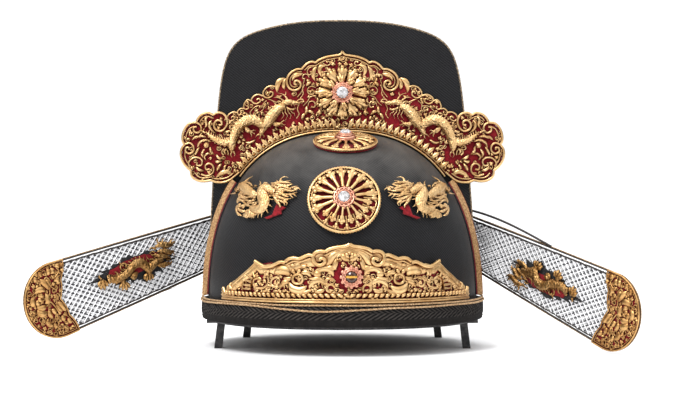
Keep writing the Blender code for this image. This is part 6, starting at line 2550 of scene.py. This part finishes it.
        # Columns: first word of the felt's name, flat outline, layer, finish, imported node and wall.
        for name, outline, layer, finish, node, wall in (
                ("wing_tip_red_felt_", inset(self.tip_outline(0.0002), 0.0002), front, RED_FELT,
                 "wing_tip_felt_", FELT * 0.8),
                ("wing_black_felt_", [(x, y * hand) for x, y in self.black_scrap()], scraps,
                 BLACK_FELT, "wing_dragon_felt_", FELT * 0.4),
                ("wing_red_felt_", [(x, y * hand) for x, y in self.red_scrap()], scraps + FELT * 0.45,
                 RED_FELT, "wing_dragon_felt_", FELT * 0.4)):
            word = self.side.word
            self.shop.lay_felt(name + word, outline, over(self.place, layer), finish, node + word,
                               "wing_net_" + word, wall, False)

    def black_scrap(self) -> list[Flat]:
        """Ragged outline of the black felt."""
        dice = random.Random(9)
        points = []
        for step in range(64):
            angle = step * math.tau / 64
            reach = 1 + dice.uniform(-0.26, 0.1)
            tail = max(math.cos(angle), 0) ** 4
            wide = 8.2 + 2.6 * max(math.cos(angle - 1.2), 0) ** 6 + 3.0 * max(math.cos(angle + 1.7), 0) ** 8
            points.append(((107 + (30 + 9 * tail) * math.cos(angle) * reach) / 1000,
                           (1.5 + wide * math.sin(angle) * reach + 2 * tail) / 1000))
        return points

    def red_scrap(self) -> list[Flat]:
        """Ragged outline of the red felt, shown between the dragon's back and the net."""
        dice = random.Random(14)
        points = []
        for step in range(36):
            angle = step * math.tau / 36
            reach = 1 + dice.uniform(-0.1, 0.1)
            points.append(((109 + 22 * math.cos(angle) * reach) / 1000,
                           (3.2 + 5.6 * math.sin(angle) * reach + 0.06 * math.cos(angle)) / 1000))
        return points

    def make_tip(self) -> None:
        """Cast the end plaque with its flower and leaves."""
        word = self.side.word
        relief = Relief("wing_tip_openwork_" + word, broad=0.0013, flatness=0.5)
        outline = self.tip_outline(0.0002)
        for width, margin in ((0.0006, 0.0), (0.0003, 0.0015)):
            relief.rail(raised(inset(outline, margin), width), width, closed=True)
        relief.draw(WING_TIP)
        inner = inset(outline, margin=0.001)
        relief.fill(inner, spacing=0.0034, seed=40, size=0.95, margin=0.0004)
        relief.fill(inner, spacing=0.0027, seed=42, size=0.75, margin=0.0001)
        layer = self.net / 2 + GAP + FELT * 0.8
        self.shop.finish(relief.cast(over(self.place, layer)), OLD_GOLD, ["wing_tip_" + word], ROUNDED)

    def make_dragon(self) -> None:
        """Cast the dragon."""
        word = self.side.word
        relief = Relief("wing_dragon_cast_" + word, broad=0.0013, flatness=0.6)
        turn = IDENTITY if self.side is Side.LEFT else Matrix.Diagonal((1, -1, 1, 1))
        relief.draw(WING_DRAGON, turn)
        add_fins(relief, WING_DRAGON, turn)
        layer = self.net / 2 + GAP + 0.0006 + FELT * 0.9
        self.shop.finish(relief.cast(over(self.place, layer)), OLD_CHASED, ["wing_dragon_" + word], ROUNDED)


# Seam trims and edge wire

@dataclass
class SeamTrims:
    """Gilt tapes over the seam with their red piping, and the stitched wire round the rear crown."""

    shop: Workshop
    start_z: float = 0.0332
    end_z: float = 0.107
    half: float = 0.0025
    thickness: float = 0.001
    wire: float = 0.0006
    wire_start_z: float = 0.078
    stitches: int = 130

    def build(self) -> None:
        """Make the trims and the wire."""
        for side in Side:
            self.make_tape(side)
        self.make_wire()

    def seam(self, u: float) -> tuple[Vector, Vector]:
        """Point (x, z) of the seam at a share of the tape, and the outward direction there.

        Args:
            u: Share of the tape's length from its foot.

        Returns:
            The point and the direction.
        """
        plan = self.shop.plan
        rise = plan.ridge_z - plan.foot_z
        start = math.asin(((self.start_z - plan.foot_z) / rise) ** (plan.side_power / 2))
        end = math.asin(((self.end_z - plan.foot_z) / rise) ** (plan.side_power / 2))
        turn = start + (end - start) * u
        here = plan.arch_point(turn)
        run = (plan.arch_point(turn + 0.01) - here).normalized()
        return here, Vector((-run.y, run.x))

    def tape_point(self, side: Side, u: float, across: float, raised_by: float) -> Vector:
        """Find a point of the tape.

        Args:
            side: Side of the tape.
            u: Share of its length from the foot.
            across: Distance from its middle, towards its outside.
            raised_by: Distance off the seam.

        Returns:
            The point.
        """
        here, outward = self.seam(u)
        slant = math.sqrt(0.5)
        out = (across + raised_by) * slant + GAP * 3 + self.half * slant
        forward = (-across + raised_by) * slant + GAP * 3 + self.half * slant
        x, z = here + outward * out
        return Vector((-side.value * x, -self.shop.plan.seam_gap - forward, z))

    def make_tape(self, side: Side) -> None:
        """Weave one tape and sew its piping on.

        Args:
            side: Side of the tape.
        """
        # Section of the tape: shares of its half width across, and of its thickness off the seam.
        corners = [(-1, 0), (-0.33, 0.05), (0.33, 0.05), (1, 0), (1, 1), (0.6, 1.25), (0.2, 0.95),
                   (-0.2, 1.2), (-0.6, 0.95), (-1, 1), (-1, 0)]

        def chart(u: float, v: float) -> Vector:
            """Point of the tape, its woven edge slightly wavy."""
            across, lift = corners[round(v * 10)]
            wave = 1 + 0.12 * math.sin(u * math.tau * 46 + across * 5)
            return self.tape_point(side, u, across * self.half, lift * self.thickness * wave)

        tape = mapped_grid("side_tape_" + side.word, 180, 10, chart)
        with editing(tape, "DESELECT"):
            bpy.ops.mesh.select_non_manifold()
            bpy.ops.mesh.fill()
            bpy.ops.mesh.select_all(action="SELECT")
            bpy.ops.mesh.normals_make_consistent(inside=False)
        self.shop.finish(tape, GILT_TAPE, ["side_trim_" + side.word], 60)
        runs = [self.tape_run(side, -self.half - 0.0004, self.thickness * 0.5)]
        if side is Side.RIGHT:
            runs.append(self.tape_run(side, self.half + 0.0003, self.thickness * 0.4))
        welt = self.tape_run(side, -self.half - 0.0013, -self.thickness * 0.2)
        self.shop.finish(wires("seam_welt_" + side.word, [Strand(welt, [0.0010])]), CLOTH, angle=ROUNDED)
        piping = wires("side_piping_" + side.word, [Strand(run, [0.0005]) for run in runs])
        self.shop.finish(piping, RED_PIPING, angle=ROUNDED)

    def tape_run(self, side: Side, across: float, raised_by: float) -> list[Vector]:
        """Points along the tape, at a place across it and lifted off it."""
        return [self.tape_point(side, step / 60, across, raised_by) for step in range(61)]

    def make_wire(self) -> None:
        """Bend the edge wire and sew it on with pale stitches."""
        plan = self.shop.plan
        points = []
        count = 400
        for index in range(1, count):
            share = index / count
            run = (plan.hood_outline(share + 0.004) - plan.hood_outline(share - 0.004)).normalized()
            x, z = plan.hood_outline(share) + Vector((-run.y, run.x)) * (self.wire + GAP)
            if z > self.wire_start_z:
                points.append(Vector((x, self.wire, z)))
        middle = Vector((0, 0, 0.12))
        hem = [point + (middle - point).normalized() * self.wire * 1.5 for point in points]
        self.shop.finish(wires("rear_edge_binding", [Strand(hem, [self.wire])]), CLOTH, angle=ROUNDED)
        wire = wires("rear_edge_brass_wire", [Strand(points, [self.wire])])
        self.shop.finish(wire, EDGE_BRASS, ["rear_edge_wire"], ROUNDED)
        self.sew(points, middle)

    def sew(self, points: Sequence[Vector], middle: Vector) -> None:
        """Sew the edge wire on with stitches that slant towards a middle.

        Args:
            points: Points of the wire.
            middle: Point that the stitches run to.
        """
        dice = random.Random(2)
        dots = even_run(points, self.stitches)
        front = Vector((0, -self.wire * 1.25, 0))
        strands = []
        for before, dot, after in zip([dots[0], *dots], dots, [*dots[1:], dots[-1]]):
            inward = (middle - dot).normalized()
            spread = 0.0011 + dice.uniform(-0.0002, 0.0003)
            along = (after - before).normalized() * 0.0004
            strands.append(Strand([dot - inward * self.wire * 0.9 - along, dot + front, dot + front * 1.1
                                   + inward * spread + along], [0.00022]))
        self.shop.finish(wires("edge_stitches", strands, 0), STITCH_THREAD, angle=ROUNDED)


# Studio

@dataclass
class Studio:
    """Pale floor, soft lights and the camera."""

    shop: Workshop
    distance: float = 1.3
    height: float = 0.11588
    pitch: float = 1.0
    focal_pixels: float = 1960.0
    frame_width: int = 680
    middle_column: float = 342.4

    def build(self) -> None:
        """Set up the floor, the lights and the camera."""
        self.make_floor()
        self.make_world()
        self.make_light("key", (-0.6, -0.9, 1.5), 0.6, 22.0)
        self.make_light("back", (0.2, 1.1, 1.3), 1.0, 10.0)
        self.make_camera()

    def make_floor(self) -> None:
        """Lay the floor."""
        bpy.ops.object.select_all(action="DESELECT")
        bpy.ops.mesh.primitive_plane_add(size=24, location=(0, 0, 0))
        floor = bpy.context.object
        floor.name = "studio_floor"
        floor.data.materials.append(PALETTE.of(PaleFloor("pale_floor", "floor")))

    def make_world(self) -> None:
        """Light the room evenly and softly."""
        world = bpy.data.worlds.new("soft_room")
        world.use_nodes = True
        nodes = world.node_tree.nodes
        link = world.node_tree.links.new
        split = nodes.new("ShaderNodeSeparateXYZ")
        link(nodes.new("ShaderNodeTexCoord").outputs["Generated"], split.inputs[0])
        glow = []
        for axis, start, end, low, high in (("Z", 0.06, 0.46, 0.0, 1.45), ("Y", 0.952, 0.972, 0.0, 1.1)):
            ramp = nodes.new("ShaderNodeMapRange")
            for label, value in (("From Min", start), ("From Max", end), ("To Min", low), ("To Max", high)):
                ramp.inputs[label].default_value = value
            link(split.outputs[axis], ramp.inputs["Value"])
            glow.append(ramp.outputs[0])
        brighter = nodes.new("ShaderNodeMath")
        brighter.operation = "MAXIMUM"
        for index, value in enumerate(glow):
            link(value, brighter.inputs[index])
        nodes["Background"].inputs["Color"].default_value = (1.0, 1.0, 1.0, 1)
        link(brighter.outputs[0], nodes["Background"].inputs["Strength"])
        bpy.context.scene.world = world

    def make_light(self, name: str, place: tuple[float, float, float], size: float, power: float) -> None:
        """Hang a soft square light that faces the cap.

        Args:
            name: Name of the light.
            place: Its middle.
            size: Length of its side.
            power: Its power in watts.
        """
        bpy.ops.object.light_add(type="AREA", location=place)
        light = bpy.context.object
        light.name = name
        light.data.size = size
        light.data.energy = power
        aim = Vector((0, 0, 0.09)) - Vector(place)
        light.rotation_euler = aim.to_track_quat("-Z", "Y").to_euler()

    def make_camera(self) -> None:
        """Stand the camera where the photograph was taken from."""
        bpy.ops.object.camera_add()
        camera = bpy.context.object
        camera.name = "photo_camera"
        camera.data.sensor_width = 36
        camera.data.lens = self.focal_pixels / self.frame_width * 36
        camera.data.clip_start = 0.05
        offset = self.shop.offset
        camera.location = (offset.x, offset.y - self.distance, self.height)
        yaw = math.atan((self.middle_column - self.frame_width / 2) / self.focal_pixels)
        camera.rotation_euler = (QUARTER - math.radians(self.pitch), 0, yaw)
        bpy.context.scene.camera = camera
        bpy.context.scene.view_settings.view_transform = "Standard"


def main() -> None:
    """Build every piece of the cap and its setting, in order."""
    logging.basicConfig(level=logging.INFO, format="%(name)s: %(message)s")
    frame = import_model()
    shop = Workshop.measured(CapPlan())
    ClothCrowns(shop).build()
    HeadBand(shop).build()
    SeamTrims(shop).build()
    Crest(shop).build()
    front = shop.plan.front_centre(x=0.001, z=0.0977)
    Medallion(shop, "front", front, radius=0.0236, petals=17, doubled=range(10, 17)).build()
    top = shop.plan.meet_dome(Vector((0.0019, -0.0385, shop.plan.ridge_z)), Vector((0, 0, 1)))
    Medallion(shop, "top", top, radius=0.0212, petals=14, collar=0.0026).build()
    BrowPlaque(shop).build()
    DomeDragons(shop).build()
    Wing(shop, Side.LEFT, sweep=math.radians(39.0), droop=math.radians(15.7), root_z=0.0785).build()
    Wing(shop, Side.RIGHT, sweep=math.radians(52.3), droop=math.radians(16.8), root_z=0.0767).build()
    frame["nodes"]["stand"].data.materials.clear()
    frame["nodes"]["stand"].data.materials.append(PALETTE.of(STEEL))
    Studio(shop).build()


if __name__ == "__main__":
    main()
